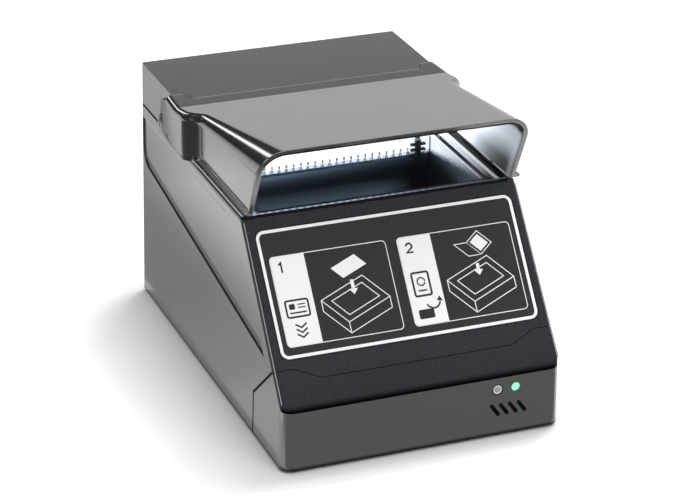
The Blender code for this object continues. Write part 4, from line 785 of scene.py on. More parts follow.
# Pale grey of the panel edge strips: a painted highlight.
PANEL_EDGE_HIGHLIGHT = Moulded("edge_grey_painted_highlight", (0.26, 0.26, 0.28), rough=0.35, shine=0.5)
SEAL = Moulded("seal_black", (0.006, 0.006, 0.007), rough=0.7, shine=0.1)
MATT = Moulded("matt_black", (0.012, 0.012, 0.013), rough=0.62)
RUBBER = Moulded("rubber_black", (0.02, 0.02, 0.021), rough=0.8, texture=900.0)
GRAIN = Grain("grained_black", (0.016, 0.0165, 0.021))
CHAMBER = LitWall("chamber_wall_painted_light")
FRAME = LitRails("frame_ribs_painted_light")
FILM_DARK = Film("film_dark", (0.018, 0.0185, 0.018))
FILM_PALE = Film("film_pale", (0.92, 0.92, 0.92))
PLATE = Film("plate_grey", (0.42, 0.42, 0.41))
GLASS = Pane("window_glass")
GROUND_EDGE = GroundEdge("ground_edge_painted_light")
LENS = Pane("lens_glass", (0.8, 0.85, 1.0))
MIRROR = Metal("mirror_silver", (0.88, 0.89, 0.9), rough=0.1, brush=(2.0, 2.0, 2.0))
STEEL = Metal("plain_steel", (0.5, 0.5, 0.5))
HINGE_SCREW = Metal("hinge_screw_black", (0.03, 0.03, 0.032), rough=0.3)
GREEN_BOARD = Board("green_board", (0.012, 0.1, 0.04), (0.03, 0.2, 0.09))
WHITE_BOARD = Board("white_board", (0.75, 0.76, 0.76), (0.85, 0.86, 0.84))
DARK_BOARD = Board("dark_board", (0.1, 0.13, 0.17), (0.13, 0.16, 0.21))
SCREEN_LIT = Lit("screen_lit", (0.96, 0.99, 1.0), 1.5)
LAMP_LIT = Lit("lamp_lit", (0.8, 0.86, 1.0), 0.72)
# The marks and gaps of the lamp row glow, though they are no lamps: painted light of the lamps between them.
MARK_PAINTED_LIGHT = Moulded("mark_olive_painted_light", (0.37, 0.345, 0.29), rough=0.5, glow=0.5)
GAP_PAINTED_LIGHT = Moulded("gap_slate_painted_light", (0.26, 0.3, 0.36), rough=0.5, glow=0.6)
IDLE_LENS = Moulded("lens_idle", (0.3, 0.3, 0.29), rough=0.25, texture=700.0, shine=0.5)
READY_LENS = Lit("lens_ready", (0.34, 0.86, 0.56), 0.75, (0.2, 0.5, 0.34))
RING = Moulded("ring_pale", (0.76, 0.76, 0.76), rough=0.3, shine=0.5)
RING_DARK = Moulded("ring_dark", (0.03, 0.03, 0.03), rough=0.5)
# Green tint of the ring round the lit lamp: painted light of that lamp.
RING_PAINTED_LIGHT = Moulded("ring_green_painted_light", (0.02, 0.1, 0.065), rough=0.4, shine=0.3)
NODE_FINISHES = (
    (CASE, ("body_shell", "rear_panel", "front_bumper", "hood_shell")), (HEAD, ("rear_head_cover",)),
    (GRAIN, ("chin_panel", "slope_panel")), (FILM_DARK, ("instruction_label",)), (GLASS, ("scan_glass",)),
    (FRAME, ("glass_gasket", "glass_frame")), (CHAMBER, ("optical_chamber",)), (LENS, ("camera_lens",)),
    (WHITE_BOARD, ("rear_led_board", "front_led_board")), (PLATE, ("rating_plate",)),
    (GREEN_BOARD, ("camera_board", "main_board", "antenna_board", "indicator_board")),
    (MATT, ("led_clip", "lens_barrel", "sounder", "base_tray", "hinge_bush")),
    (RUBBER, ("foot_", "hood_pad")), (HINGE_SCREW, ("hinge_screw",)), (STEEL, ("mirror_bracket",)),
    (MIRROR, ("mirror",)), (STEEL, ("",)))


def arc(centre: Flat, radius: float, start: float, end: float, steps: int) -> list[Flat]:
    """Points of an arc in a plane.

    Args:
        centre: Its middle.
        radius: Its radius.
        start: First angle in degrees.
        end: Last angle in degrees.
        steps: Number of chords.

    Returns:
        The points, both ends included.
    """
    angles = [math.radians(start + (end - start) * step / steps) for step in range(steps + 1)]
    return [(centre[0] + radius * math.cos(angle), centre[1] + radius * math.sin(angle)) for angle in angles]


def rounded(low: Flat, high: Flat, radius: float, steps: int = 8) -> list[Flat]:
    """Rectangle with round corners, counter-clockwise.

    Args:
        low: Lower left corner.
        high: Upper right corner.
        radius: Radius of the corners.
        steps: Chords in each corner.

    Returns:
        The outline.
    """
    left, right, near, far = low[0] + radius, high[0] - radius, low[1] + radius, high[1] - radius
    corners = (((left, near), 180), ((right, near), 270), ((right, far), 0), ((left, far), 90))
    return [point for centre, start in corners for point in arc(centre, radius, start, start + 90, steps)]


def part_way(value: float, start: float, end: float) -> float:
    """Share of the way from start to end, from 0 to 1."""
    return min(max((value - start) / (end - start), 0.0), 1.0)


def eased(value: float, start: float, end: float) -> float:
    """Share of the way from start to end, easing in and out."""
    share = part_way(value, start, end)
    return share * share * (3.0 - 2.0 * share)


def ramped(value: float, start: float, end: float, soft: float = 0.18) -> float:
    """Share of the way from start to end, straight but for a soft bend at both ends.

    Args:
        value: Where.
        start: Where the way begins.
        end: Where it ends.
        soft: Part of the way that each bend takes.

    Returns:
        The share.
    """
    share, flat = part_way(value, start, end), 1.0 - soft
    if share < soft:
        return share * share / (2 * soft * flat)
    if share > flat:
        return 1.0 - (1.0 - share) ** 2 / (2 * soft * flat)
    return (share - soft / 2) / flat


@dataclass
class Work:
    """A mesh in the making, in case millimetres."""

    name: str
    bm: bmesh.types.BMesh = field(default_factory=bmesh.new)

    def loft(self, rings: Sequence[Ring], capped: bool = True, lined: tuple[int, int] = (0, 0)) -> None:
        """Skin through closed rings of equal point counts.

        Args:
            rings: The rings.
            capped: Close both ends.
            lined: First and last point between which the second finish lies.
        """
        rows = [[self.bm.verts.new(point) for point in ring] for ring in rings]
        for row, after in zip(rows, rows[1:]):
            count = len(row)
            for index in range(count):
                step = (index + 1) % count
                face = self.bm.faces.new((row[index], row[step], after[step], after[index]))
                face.material_index = int(lined[0] <= index < lined[1])
        if capped:
            self.bm.faces.new(rows[0])
            self.bm.faces.new(rows[-1])

    def prism(self, outline: Sequence[Flat], low: float, high: float, frame_of: Matrix) -> None:
        """Outline drawn out between two levels of a frame.

        Args:
            outline: Points of the outline.
            low: Lower level.
            high: Upper level.
            frame_of: Matrix from the outline's plane into case coordinates.
        """
        self.loft([[frame_of @ Vector((u, v, level)) for u, v in outline] for level in (low, high)])

    def pillow(self, outline: Ring, low: float, high: float, edge: float, frame_of: Matrix) -> None:
        """Outline drawn out with its upper edge rounded.

        Args:
            outline: Points of the outline, counter-clockwise.
            low: Lower level.
            high: Upper level.
            edge: Radius of the upper edge.
            frame_of: Matrix from the outline's plane into case coordinates.
        """
        levels = [(low, 0.0), (high - edge, 0.0)]
        levels += [(high - edge + edge * math.sin(a), edge - edge * math.cos(a))
                   for a in (math.pi / 8, math.pi / 4, math.pi * 3 / 8, math.pi / 2)]
        self.loft([[frame_of @ Vector((u, v, level)) for u, v in drawn_in(outline, inset)]
                   for level, inset in levels])

    def turned(self, start: Place, along: Place, profile: Sequence[Flat], sides: int = 48) -> None:
        """Body of revolution.

        Args:
            start: Where the axis begins.
            along: Direction of the axis.
            profile: Distances along the axis, each with a radius over zero.
            sides: Number of facets.
        """
        turn = Vector(along).to_track_quat("Z", "Y").to_matrix()
        angles = [2 * math.pi * side / sides for side in range(sides)]
        self.loft([[Vector(start) + turn @ Vector((radius * math.cos(a), radius * math.sin(a), distance))
                    for a in angles] for distance, radius in profile])

    def block(self, low: Sequence[float], high: Sequence[float], edge: float = 0.2) -> None:
        """Box with rounded upper edges.

        Args:
            low: Lowest corner.
            high: Highest corner.
            edge: Radius of its corners and upper edges.
        """
        outline = rounded((low[0], low[1]), (high[0], high[1]), edge, 3)
        self.pillow(outline, low[2], high[2], edge, Matrix.Identity(4))

    def mesh(self) -> bpy.types.Mesh:
        """Turn the work into a mesh in frame metres.

        Returns:
            The mesh, with its faces pointing out.
        """
        bmesh.ops.recalc_face_normals(self.bm, faces=self.bm.faces)
        bmesh.ops.transform(self.bm, matrix=TO_FRAME, verts=self.bm.verts)
        return meshed(self.name, self.bm)

    def place(
        self, finish: Finish, body: Body, slot: Slot, replaces: Sequence[str] = (), angle: float = 35.0
    ) -> bpy.types.Object:
        """Make the work a piece of the scene, riding on its body.

        Args:
            finish: Its finish.
            body: The body it rides on.
            slot: Not used.
            replaces: CAD nodes it stands for.
            angle: Edges sharper than this many degrees stay sharp.

        Returns:
            The piece.
        """
        piece = linked(self.name, self.mesh())
        piece.data.materials.append(finish.material)
        shade(piece, angle)
        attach(piece, body.value)
        if replaces:
            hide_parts(*replaces)
        LOG.info("piece %s on %s, %d faces", piece.name, body.value, len(piece.data.polygons))
        return piece


def meshed(name: str, bm: bmesh.types.BMesh) -> bpy.types.Mesh:
    """Turn drawn faces into a mesh.

    Args:
        name: Name of the mesh.
        bm: The faces, which are let go.

    Returns:
        The mesh.
    """
    mesh = bpy.data.meshes.new(name)
    bm.to_mesh(mesh)
    bm.free()
    return mesh


def linked(name: str, data: bpy.types.ID) -> bpy.types.Object:
    """Put new data into the scene.

    Args:
        name: Name of the object.
        data: Its mesh, lamp or camera.

    Returns:
        The object.
    """
    result = bpy.data.objects.new(name, data)
    bpy.context.scene.collection.objects.link(result)
    return result


def shade(piece: bpy.types.Object, angle: float) -> None:
    """Shade a piece smoothly, with its large faces kept flat.

    Args:
        piece: The piece.
        angle: Edges sharper than this many degrees stay sharp.
    """
    piece.data.shade_smooth()
    piece.data.set_sharp_from_angle(angle=math.radians(angle))
    even = piece.modifiers.new("even_shading", "WEIGHTED_NORMAL")
    even.keep_sharp = True


def drawn_in(outline: Sequence[Flat], inset: float) -> list[Flat]:
    """Outline moved inwards by an inset.

    Args:
        outline: Closed outline, counter-clockwise.
        inset: How far each side moves in.

    Returns:
        The moved outline.
    """
    if not inset:
        return list(outline)
    result, count, least = [], len(outline), 1e-6
    for index, (u, v) in enumerate(outline):
        before, here = Vector(outline[index - 1]), Vector((u, v))
        after = Vector(outline[(index + 1) % count])
        first, last = here - before, after - here
        if first.length < least or last.length < least:
            first = last = after - before
        first, last = first.normalized(), last.normalized()
        mean = (first + last).normalized()
        normal = Vector((-mean.y, mean.x))
        reach = inset / max(mean.dot(first), 0.4)
        result.append((u + normal.x * reach, v + normal.y * reach))
    return result


@dataclass
class Case:
    """Lower case and head: the wedge's sizes and the plain nodes of the frame."""

    width: float = 170.0
    depth: float = 262.0
    deck: float = 126.5
    top: float = 154.5
    chin: float = 36.5
    slope_run: float = 69.0
    side_lean: float = 1.55
    rear_lean: float = 4.0
    seam_back: float = 187.5
    bulge_back: float = 196.5
    bulge_sides: Flat = (72.6, 76.6)
    softened: tuple[tuple[str, float], ...] = (
        ("body_shell", 0.45), ("front_bumper", 0.6), ("chin_panel", 0.7), ("slope_panel", 0.8),
        ("rear_panel", 0.35), ("glass_frame", 0.2), ("scan_glass", 0.3), ("base_tray", 0.3))

    @property
    def slope_angle(self) -> float:
        """Angle of the slope above the level."""
        return math.atan2(self.deck - self.chin, self.slope_run)

    @property
    def slope_plane(self) -> Matrix:
        """Frame of the slope: x across, y up the slope, z out of its face."""
        c, s = math.cos(self.slope_angle), math.sin(self.slope_angle)
        return Matrix(((1, 0, 0, 0), (0, c, -s, 0), (0, s, c, self.chin), (0, 0, 0, 1)))

    def half_width(self, height: float) -> float:
        """Half width at a height, with the sides' draft."""
        return self.width / 2 - self.side_lean * height / self.top

    def rear_face(self, height: float) -> float:
        """How far back the rear face lies at a height."""
        return self.depth - self.rear_lean * height / self.top

    def front_edge(self, x: float) -> float:
        """How far back the head's front edge lies under the hood's rear edge."""
        return self.seam_back + (self.bulge_back - self.seam_back) * eased(abs(x), *self.bulge_sides)

    def finish_nodes(self) -> None:
        """Give every node of the frame its material."""
        for name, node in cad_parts.items():
            finish = next(finish for finish, starts in NODE_FINISHES if name.startswith(starts))
            node.data.materials.clear()
            node.data.materials.append(finish.material)
            LOG.info("node %s takes %s", name, finish.name)

    def soften_edges(self) -> None:
        """Break the sharp edges of the moulded nodes with a small round."""
        for name, width in self.softened:
            round_over(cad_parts[name], width)


def round_over(piece: bpy.types.Object, width: float, limit: float = 38.0) -> None:
    """Add a small rounding to a piece's sharp edges.

    Args:
        piece: The piece.
        width: Width of the rounding in millimetres.
        limit: Edges sharper than this many degrees are rounded.
    """
    bevel = piece.modifiers.new("edge_round", "BEVEL")
    bevel.width = width * MM
    bevel.segments = 2
    bevel.limit_method = "ANGLE"
    bevel.angle_limit = math.radians(limit)
    bevel.use_clamp_overlap = True
    bevel.harden_normals = True


@dataclass
class Head:
    """Raised cover at the rear, with the curved front edge that meets the hood."""

    case: Case
    gap: float = 0.3
    corner: float = 1.3
    edge: float = 0.45
    wall: float = 3.0
    collar: float = 4.0
    front_draw: float = 1.8
    front_steps: int = 120

    def outline(self, height: float, inset: float) -> list[Flat]:
        """Plan of the cover at a height.

        Args:
            height: Height above the underside.
            inset: How far the outline is drawn in.

        Returns:
            Points, counter-clockwise.
        """
        half = self.case.half_width(height) - inset
        rear = self.case.rear_face(height) - inset
        corner = max(self.corner - inset, 0.4)
        points = arc((half - corner, rear - corner), corner, 0, 90, 8)
        points += arc((-half + corner, rear - corner), corner, 90, 180, 8)
        curved = height > self.case.top - self.collar
        for step in range(self.front_steps + 1):
            x = -half + 2 * half * step / self.front_steps
            front = self.case.front_edge(x) if curved else self.case.seam_back
            points.append((x, front + inset * self.front_draw))
        return points

    def build(self) -> None:
        """Make the cover as one skin with a rounded upper edge."""
        work = Work("head_cover")
        low, top = self.case.deck + self.gap, self.case.top
        levels = [(low, 0.3), (low + 0.3, 0.0), (top - 3.2, 0.0), (top - 3.15, 0.0), (top - self.edge, 0.0)]
        levels += [(top - self.edge + self.edge * math.sin(a), self.edge * (1 - math.cos(a)))
                   for a in (0.4, 0.8, 1.2, math.pi / 2)]
        inner = [[(u, v, z) for u, v in self.outline(low, self.wall)] for z in (low + self.wall, low)]
        work.loft(inner + [[(u, v, z) for u, v in self.outline(z, inset)] for z, inset in levels])
        work.place(HEAD, Body.BASE, Slot.HEAD, ["rear_head_cover"], 40.0)


@dataclass
class SideGroove:
    """Broad shallow groove along each side wall, over the cut of the case."""

    case: Case
    width: float = 6.9
    depth: float = 0.93
    side: float = 0.7
    rear: float = 254.0
    top: float = 119.15
    bend: float = 9.0
    turn_height: float = 92.2
    end: Flat = (31.0, 60.6)
    end_inset: float = 12.75
    lip: float = 0.05
    side_ease: float = 0.6
    under: float = 0.985
    draw: float = 0.1
    points: int = 12
    upright_steps: int = 6
    bend_steps: int = 12
    run_steps: int = 30

    def run_to_slope(self, point: Vector, along: Vector) -> Vector:
        """Move a point along the groove to where it ends, on a line set in from the slope.

        Args:
            point: The point, back and height.
            along: The groove's direction there.

        Returns:
            The moved point.
        """
        angle = self.case.slope_angle
        behind = point.x * math.sin(angle) - (point.y - self.case.chin) * math.cos(angle)
        meeting = angle - math.atan2(along.y, along.x) - math.pi
        return point + along * (behind - self.end_inset) / math.sin(meeting)

    def rows(self) -> list[list[Vector]]:
        """Points across the groove, back and height, from its top to its end.

        Returns:
            Rows of points.
        """
        start, turn = Vector((self.rear, self.top)), Vector((self.rear, self.turn_height))
        down, away = (turn - start).normalized(), (Vector(self.end) - turn).normalized()
        reach = self.bend * math.tan(down.angle(away) / 2)
        first, last = turn - down * reach, turn + away * reach
        count = self.upright_steps
        places = [(start.lerp(first, step / count), down) for step in range(count + 1)]
        centre = first - Vector((self.bend, 0.0))
        for step in range(1, self.bend_steps + 1):
            angle = down.angle(away) * step / self.bend_steps
            along = Vector((-math.sin(angle), -math.cos(angle)))
            places.append((centre + Vector((math.cos(angle), -math.sin(angle))) * self.bend, along))
        shares = [2 * point / self.points - 1.0 for point in range(self.points + 1)]
        rows = [[here + Vector((-along.y, along.x)) * share * self.width / 2 for share in shares]
                for here, along in places]
        across = Vector((-away.y, away.x)) * self.width / 2
        ends = [self.run_to_slope(last + across * share, away) for share in shares]
        for step in range(1, self.run_steps + 1):
            way = step / self.run_steps
            rows.append([(last + across * share).lerp(tip, way) for share, tip in zip(shares, ends)])
        return rows

    def build(self) -> None:
        """Lay the groove's lining, in a darker lacquer that is painted shade, into both walls."""
        for side in Side:
            work = Work("groove_lining_" + side.name.lower())
            rings = []
            for row in self.rows():
                ring = []
                for index, (back, height) in enumerate(row):
                    edge = min(index, self.points - index) * self.width / self.points
                    sunk = self.lip + (self.depth - self.lip) * eased(edge, 0.0, self.side + self.side_ease)
                    ring.append((side.value * (self.case.half_width(height) - sunk), back, height))
                for place in (row[-1], row[0]):
                    back, height = place.lerp(row[self.points // 2], self.draw)
                    ring.append((side.value * (self.case.half_width(height) - self.under), back, height))
                rings.append(ring)
            work.loft(rings)
            work.place(GROOVE_SHADE, Body.BASE, Slot.CASE)


@dataclass
class WallLine:
    """Fine raised line along each side wall, level with the top of the groove, in a paler lacquer that is a
    painted highlight.
    """

    case: Case
    height: float = 119.3
    width: float = 1.2
    proud: float = 0.2
    start: float = 92.0
    end: float = 252.0
    steps: int = 40
    tip: float = 0.04
    section: tuple[Flat, ...] = ((0.0, -0.3), (0.0, 0.0), (0.12, 1.0), (1.0, 0.0), (1.0, -0.3))

    def build(self) -> None:
        """Lay the line on both walls."""
        for side in Side:
            work = Work("wall_line_" + side.name.lower())
            rings = []
            for step in range(self.steps + 1):
                share = step / self.steps
                thick = eased(min(share, 1 - share), 0.0, self.tip)
                ring = []
                for across, out in self.section:
                    z = self.height + (across - 0.5) * self.width
                    x = self.case.half_width(z) + self.proud * (out * thick if out > 0 else out)
                    ring.append((side.value * x, self.start + (self.end - self.start) * share, z))
                rings.append(ring)
            work.loft(rings)
            work.place(WALL_LINE_HIGHLIGHT, Body.BASE, Slot.CASE)


@dataclass
class Joints:
    """Dark joint lines on the side walls, and pale strips along the slope's panel edges, a painted
    highlight.
    """

    case: Case
    bumper: tuple[Flat, ...] = ((51.0, 0.3), (49.9, 27.2), (18.2, 54.5))
    head: tuple[Flat, ...] = ((257.2, 127.2), (212.5, 127.2))
    gap: float = 1.7
    sunk: float = -0.1
    body: float = 0.12
    edge: float = 0.6
    edge_in: float = 0.45
    edge_low: float = 6.0
    slope_top: float = 111.0

    def build(self) -> None:
        """Lay all lines."""
        lean = math.atan2(self.case.side_lean, self.case.top)
        c, s = math.cos(lean), math.sin(lean)
        for side in Side:
            out = side.value
            foot = out * self.case.half_width(0)
            wall = Matrix(((0, -out * s, out * c, foot), (1, 0, 0, 0), (0, c, s, 0), (0, 0, 0, 1)))
            joints = Ink("joint_lines_" + side.name.lower(), wall, self.sunk, self.body)
            joints.line(self.bumper, self.gap)
            joints.line(self.head, self.gap)
            joints.work.place(SEAL, Body.BASE, Slot.CASE)
            # Painted highlight: a pale grey strip along each slope panel edge.
            low, high = (self.case.half_width(z) - self.edge_in for z in (self.case.chin, self.case.deck))
            edges = Ink("panel_edge_highlight_" + side.name.lower(), self.case.slope_plane, -self.body, self.body)
            edges.line([(out * low, self.edge_low), (out * high, self.slope_top)], self.edge)
            edges.work.place(PANEL_EDGE_HIGHLIGHT, Body.BASE, Slot.CASE)


@dataclass
class Hood:
    """Folding light hood with its lip, feet and pivot ears."""

    case: Case
    sheet: float = 2.8
    half_width: float = 82.0
    ear_half_width: float = 88.7
    tip_out: float = 3.2
    foot: float = 129.0
    ear_foot: float = 127.3
    rim_back: float = 63.3
    rim_datum: float = 133.3
    rim_lean: float = 0.5
    pitch: float = 0.15855
    crease: float = 176.0
    step_front: float = 146.5
    step_rear: float = 164.5
    rear: float = 197.5
    bend_rear: float = 4.0
    bend_front: float = 16.0
    pivot: Flat = (209.5, 135.6)
    ear_inner: float = 84.05
    ear_rear: float = 223.0
    ear_top: float = 145.0
    taper_back: float = 168.0
    taper: float = 4.0
    bead: float = 0.9
    bead_run: Flat = (1.0, 9.0)
    thinning: float = 1.9
    bend_power: float = 1.2
    bend_steps: int = 14
    least_bend: float = 0.6
    foot_round: float = 0.3
    step_soft: float = 0.46
    ear_overlap: float = 1.4
    ear_draw: float = 7.0
    ear_draw_from: float = 0.55
    ear_shoulder: Flat = (0.5, 0.6)
    lip_round: float = 0.7
    front_steps: int = 24
    step_steps: int = 20
    rear_backs: tuple[float, ...] = (
        166.0, 170.0, 174.0, 175.7, 176.0, 176.3, 178.0, 182.0, 187.0, 192.0, 197.5)
    lining: tuple[int, int] = (56, 89)
    clear_gap: float = 0.35
    facets: int = 160
    ear_steps: int = 24
    bore: float = 3.4
    bore_run: Flat = (80.0, 12.0)
    lip: tuple[Flat, ...] = (
        (2.9, 0.0), (3.2, 0.3), (3.2, 1.3), (2.95, 1.55), (2.7, 1.5), (2.5, 0.9), (2.0, 0.9), (1.85, 1.7),
        (1.7, 1.9), (0.12, 3.4), (-0.06, 3.5), (-0.06, 3.8), (0.0, 4.0))

    def roof(self, base: float, lean: float, drop: float) -> float:
        """Height of the roof, less a drop, on a section that leans forward.

        Args:
            base: How far back the section starts.
            lean: Run forward per rise.
            drop: How far below the outer face.

        Returns:
            The height.
        """
        level = self.case.top - drop
        rise = self.pitch * (self.crease - base - lean * (self.rim_datum - level))
        return level + max(0.0, rise / (1 - self.pitch * lean))

    def wide(self, base: float) -> float:
        """Half width of the sheet, with the step out to the ears and their slow taper.

        Args:
            base: How far back.

        Returns:
            The half width.
        """
        spread = ramped(base, self.step_front, self.step_rear, self.step_soft)
        along = max(0.0, base - self.taper_back) / (self.ear_rear - self.taper_back)
        step = (self.ear_half_width - self.half_width) * spread
        return self.half_width + step - self.taper * along * along

    def ring(self, base: float, lean: float, thin: float = 0.0) -> list[Vector]:
        """Closed outline of the sheet on one section.

        Args:
            base: How far back the section starts.
            lean: Run forward per rise.
            thin: How far both faces are drawn into the sheet.

        Returns:
            Points in space, outer face first.
        """
        spread = eased(base, self.step_front, self.step_rear)
        width = self.wide(base)
        out = max(width, self.half_width + self.tip_out) - width
        level = self.foot + (self.ear_foot - self.foot) * spread
        share = part_way(base, self.crease, self.rim_back)
        bend = self.bend_rear + (self.bend_front - self.bend_rear) * share ** self.bend_power
        bead = self.bead * (1.0 - eased(base, *(self.rim_back + run for run in self.bead_run)))
        sheet = self.sheet + bead - self.thinning * thin
        top, ceiling = self.roof(base, lean, 0.0) - thin, self.roof(base, lean, sheet)
        inner_bend, outer_bend = max(bend - sheet, self.least_bend), bend - thin
        wide, inside, steps = width - thin, width - sheet, self.bend_steps
        outer = [(wide + across * out / self.tip_out, level + rise) for across, rise in self.lip]
        outer += arc((wide - outer_bend, top - outer_bend), outer_bend, 0, 90, steps)
        inner = arc((inside - inner_bend, ceiling - inner_bend), inner_bend, 90, 0, steps)
        inner += [(inside, level + self.foot_round), (inside + self.foot_round, level)]
        loop = outer + [(-u, v) for u, v in reversed(outer)]
        loop += [(-u, v) for u, v in reversed(inner)] + inner
        return [Vector((u, base - lean * (v - self.rim_datum), v)) for u, v in loop]

    def sections(self) -> list[tuple[float, float, float]]:
        """Sections from the rim to the rear edge.

        Returns:
            Start, lean and thinning of each.
        """
        lip = self.lip_round
        rows = [(self.rim_back + lip * (1 - math.cos(a)), self.rim_lean, lip * (1 - math.sin(a)))
                for a in (0.0, 0.4, 0.8, 1.2, math.pi / 2)]
        for step in range(1, self.front_steps + 1):
            share = step / self.front_steps
            base = self.rim_back + lip + (self.step_front - self.rim_back - lip) * share
            rows.append((base, self.rim_lean * (1 - share), 0.0))
        run = self.step_rear - self.step_front
        backs = [self.step_front + run * step / self.step_steps for step in range(1, self.step_steps + 1)]
        return rows + [(back, 0.0, 0.0) for back in (*backs, *self.rear_backs)]

    def clearance(self) -> Work:
        """Round body about the pivot that the head's edge needs clear.

        Returns:
            The body, as a cutter.
        """
        work = Work("hood_clearance")
        (back, height), inner, rings = self.pivot, self.ear_inner - 0.3, []
        angles = [2 * math.pi * side / self.facets for side in range(self.facets)]
        for step in range(self.facets + 1):
            x = -inner + 2 * inner * step / self.facets
            radius = math.hypot(back - self.case.front_edge(x), self.case.top - height) + self.clear_gap
            rings.append([(x, back + radius * math.cos(a), height + radius * math.sin(a)) for a in angles])
        work.loft(rings)
        return work

    def ear(self, side: Side) -> Work:
        """Ear that reaches back to the pivot and tapers to the head's side.

        Args:
            side: Which side.

        Returns:
            The ear, to be joined to the sheet.
        """
        work = Work("ear_" + side.name.lower())
        start, rings, (side_in, top_in) = self.rear - self.ear_overlap, [], self.ear_shoulder
        for step in range(self.ear_steps + 1):
            back = start + (self.ear_rear - start) * step / self.ear_steps
            along = max(0.0, (back - self.rear) / (self.ear_rear - self.rear))
            outer = self.wide(back)
            top = self.case.top - self.bend_rear + (self.ear_top - self.case.top + self.bend_rear) * along
            draw = self.ear_draw * eased(along, self.ear_draw_from, 1.0)
            inner, foot = self.ear_inner, self.ear_foot
            section = ((inner, foot, 0.0), (outer, foot, 0.0), (outer, top - top_in, draw),
                       (outer - side_in, top, draw), (inner, top, draw))
            rings.append([(side.value * u, back - pull, v) for u, v, pull in section])
        work.loft(rings)
        return work

    def build(self) -> None:
        """Make the hood from its sheet, ears and clearances."""
        work = Work("light_hood")
        work.loft([self.ring(*row) for row in self.sections()], lined=self.lining)
        hood = work.place(CASE, Body.HOOD, Slot.CASE, ["hood_shell"], 40.0)
        hood.modifiers.clear()
        hood.data.materials.append(LINING.material)
        for side in Side:
            combine(hood, self.ear(side), "UNION")
        combine(hood, self.clearance(), "DIFFERENCE")
        for side in Side:
            bore = Work("bore")
            start, reach = self.bore_run
            profile = [(0, self.bore), (reach, self.bore)]
            bore.turned((side.value * start, *self.pivot), (side.value, 0, 0), profile)
            combine(hood, bore, "DIFFERENCE")
        round_over(hood, 0.25, 50.0)
        shade(hood, 30.0)


def combine(piece: bpy.types.Object, work: Work, operation: str) -> None:
    """Apply a Boolean step to a piece, with a work as its second operand.

    Args:
        piece: The piece that is changed.
        work: The other body.
        operation: UNION or DIFFERENCE.
    """
    tool = linked(work.name, work.mesh())
    step = piece.modifiers.new(work.name, "BOOLEAN")
    step.operation = operation
    step.solver = "EXACT"
    step.object = tool
    bpy.context.view_layer.update()
    result = bpy.data.meshes.new_from_object(piece.evaluated_get(bpy.context.evaluated_depsgraph_get()))
    piece.modifiers.clear()
    old = piece.data
    piece.data = result
    bpy.data.meshes.remove(old)
    bpy.data.objects.remove(tool)


@dataclass(frozen=True)
class Sign:
    """Small drawing: lines, each with a width and whether it is closed, and filled outlines."""

    lines: tuple[tuple[Sequence[Flat], float, bool], ...]
    areas: tuple[Sequence[Flat], ...] = ()


ONE = Sign(((((0.0, 4.6), (1.5, 5.7), (1.5, 0.0)), 1.1, False),))
TWO = Sign((((*arc((1.9, 3.9), 1.75, 170, -30, 10), (0.1, 0.35), (4.0, 0.35)), 1.1, False),))
CARD_SIGN = Sign(
    ((rounded((0.0, 0.0), (13.4, 9.6), 1.2, 5), 1.1, True), (((7.0, 7.0), (11.6, 7.0)), 0.7, False),
     (((7.0, 5.2), (11.6, 5.2)), 0.7, False), (((1.9, 2.4), (11.6, 2.4)), 0.9, False),
     *((((3.4, top), (6.7, top - 2.2), (10.0, top)), 0.95, False) for top in (-4.1, -6.9, -9.7))),
    (rounded((1.9, 4.4), (5.3, 7.6), 0.5, 3),))
BOOKLET_SIGN = Sign(
    ((rounded((0.0, 0.0), (10.0, 13.6), 1.0, 5), 1.2, True), (arc((5.0, 8.2), 2.3, 0, 345, 20), 0.8, False),
     (((2.4, 3.0), (7.6, 3.0)), 0.9, False), (arc((9.6, -3.8), 4.2, 200, 350, 14), 1.0, False)),
    (((11.9, -3.9), (15.6, -4.6), (13.9, -1.4)), rounded((-0.4, -13.4), (9.0, -8.0), 0.8, 4)))


@dataclass
class Ink:
    """Flat shapes printed on a plane, gathered into one thin mesh.

    The level is the height of the layer's underside over the plane, the body its thickness.
    """

    name: str
    plane: Matrix
    level: float
    body: float = 0.06

    @cached_property
    def work(self) -> Work:
        """The mesh in the making."""
        return Work(self.name)

    def area(self, outline: Sequence[Flat]) -> None:
        """Print a filled convex outline."""
        self.work.prism(outline, self.level, self.level + self.body, self.plane)

    def line(self, path: Sequence[Flat], width: float, closed: bool = False) -> None:
        """Print a line of even width.

        Args:
            path: Its points.
            width: Its width.
            closed: Whether the end meets the start.
        """
        count, least = len(path), 1e-6
        left, right = [], []
        for index in range(count):
            here = Vector(path[index])
            before = Vector(path[index - 1]) if index or closed else here
            after = Vector(path[(index + 1) % count]) if index < count - 1 or closed else here
            first = (here - before if (here - before).length > least else after - here).normalized()
            last = (after - here).normalized() if (after - here).length > least else first
            mean = (first + last).normalized()
            normal = Vector((-mean.y, mean.x)) * (width / 2 / max(mean.dot(first), 0.5))
            left.append(here + normal)
            right.append(here - normal)
        lows, highs = ([[self.work.bm.verts.new(self.plane @ Vector((p.x, p.y, level))) for p in row]
                        for row in (left, right)] for level in (self.level, self.level + self.body))
        new = self.work.bm.faces.new
        for index in range(count if closed else count - 1):
            step = (index + 1) % count
            for a, b in ((highs[0], highs[1]), (highs[1], lows[1]), (lows[1], lows[0]), (lows[0], highs[0])):
                new((a[index], a[step], b[step], b[index]))
        for index in () if closed else (0, count - 1):
            new((highs[0][index], highs[1][index], lows[1][index], lows[0][index]))

    def draw(self, sign: Sign, corner: Flat) -> None:
        """Print a sign.

        Args:
            sign: The sign.
            corner: Where its origin lies.
        """
        for path, width, closed in sign.lines:
            self.line([(corner[0] + x, corner[1] + y) for x, y in path], width, closed)
        for outline in sign.areas:
            self.area([(corner[0] + x, corner[1] + y) for x, y in outline])


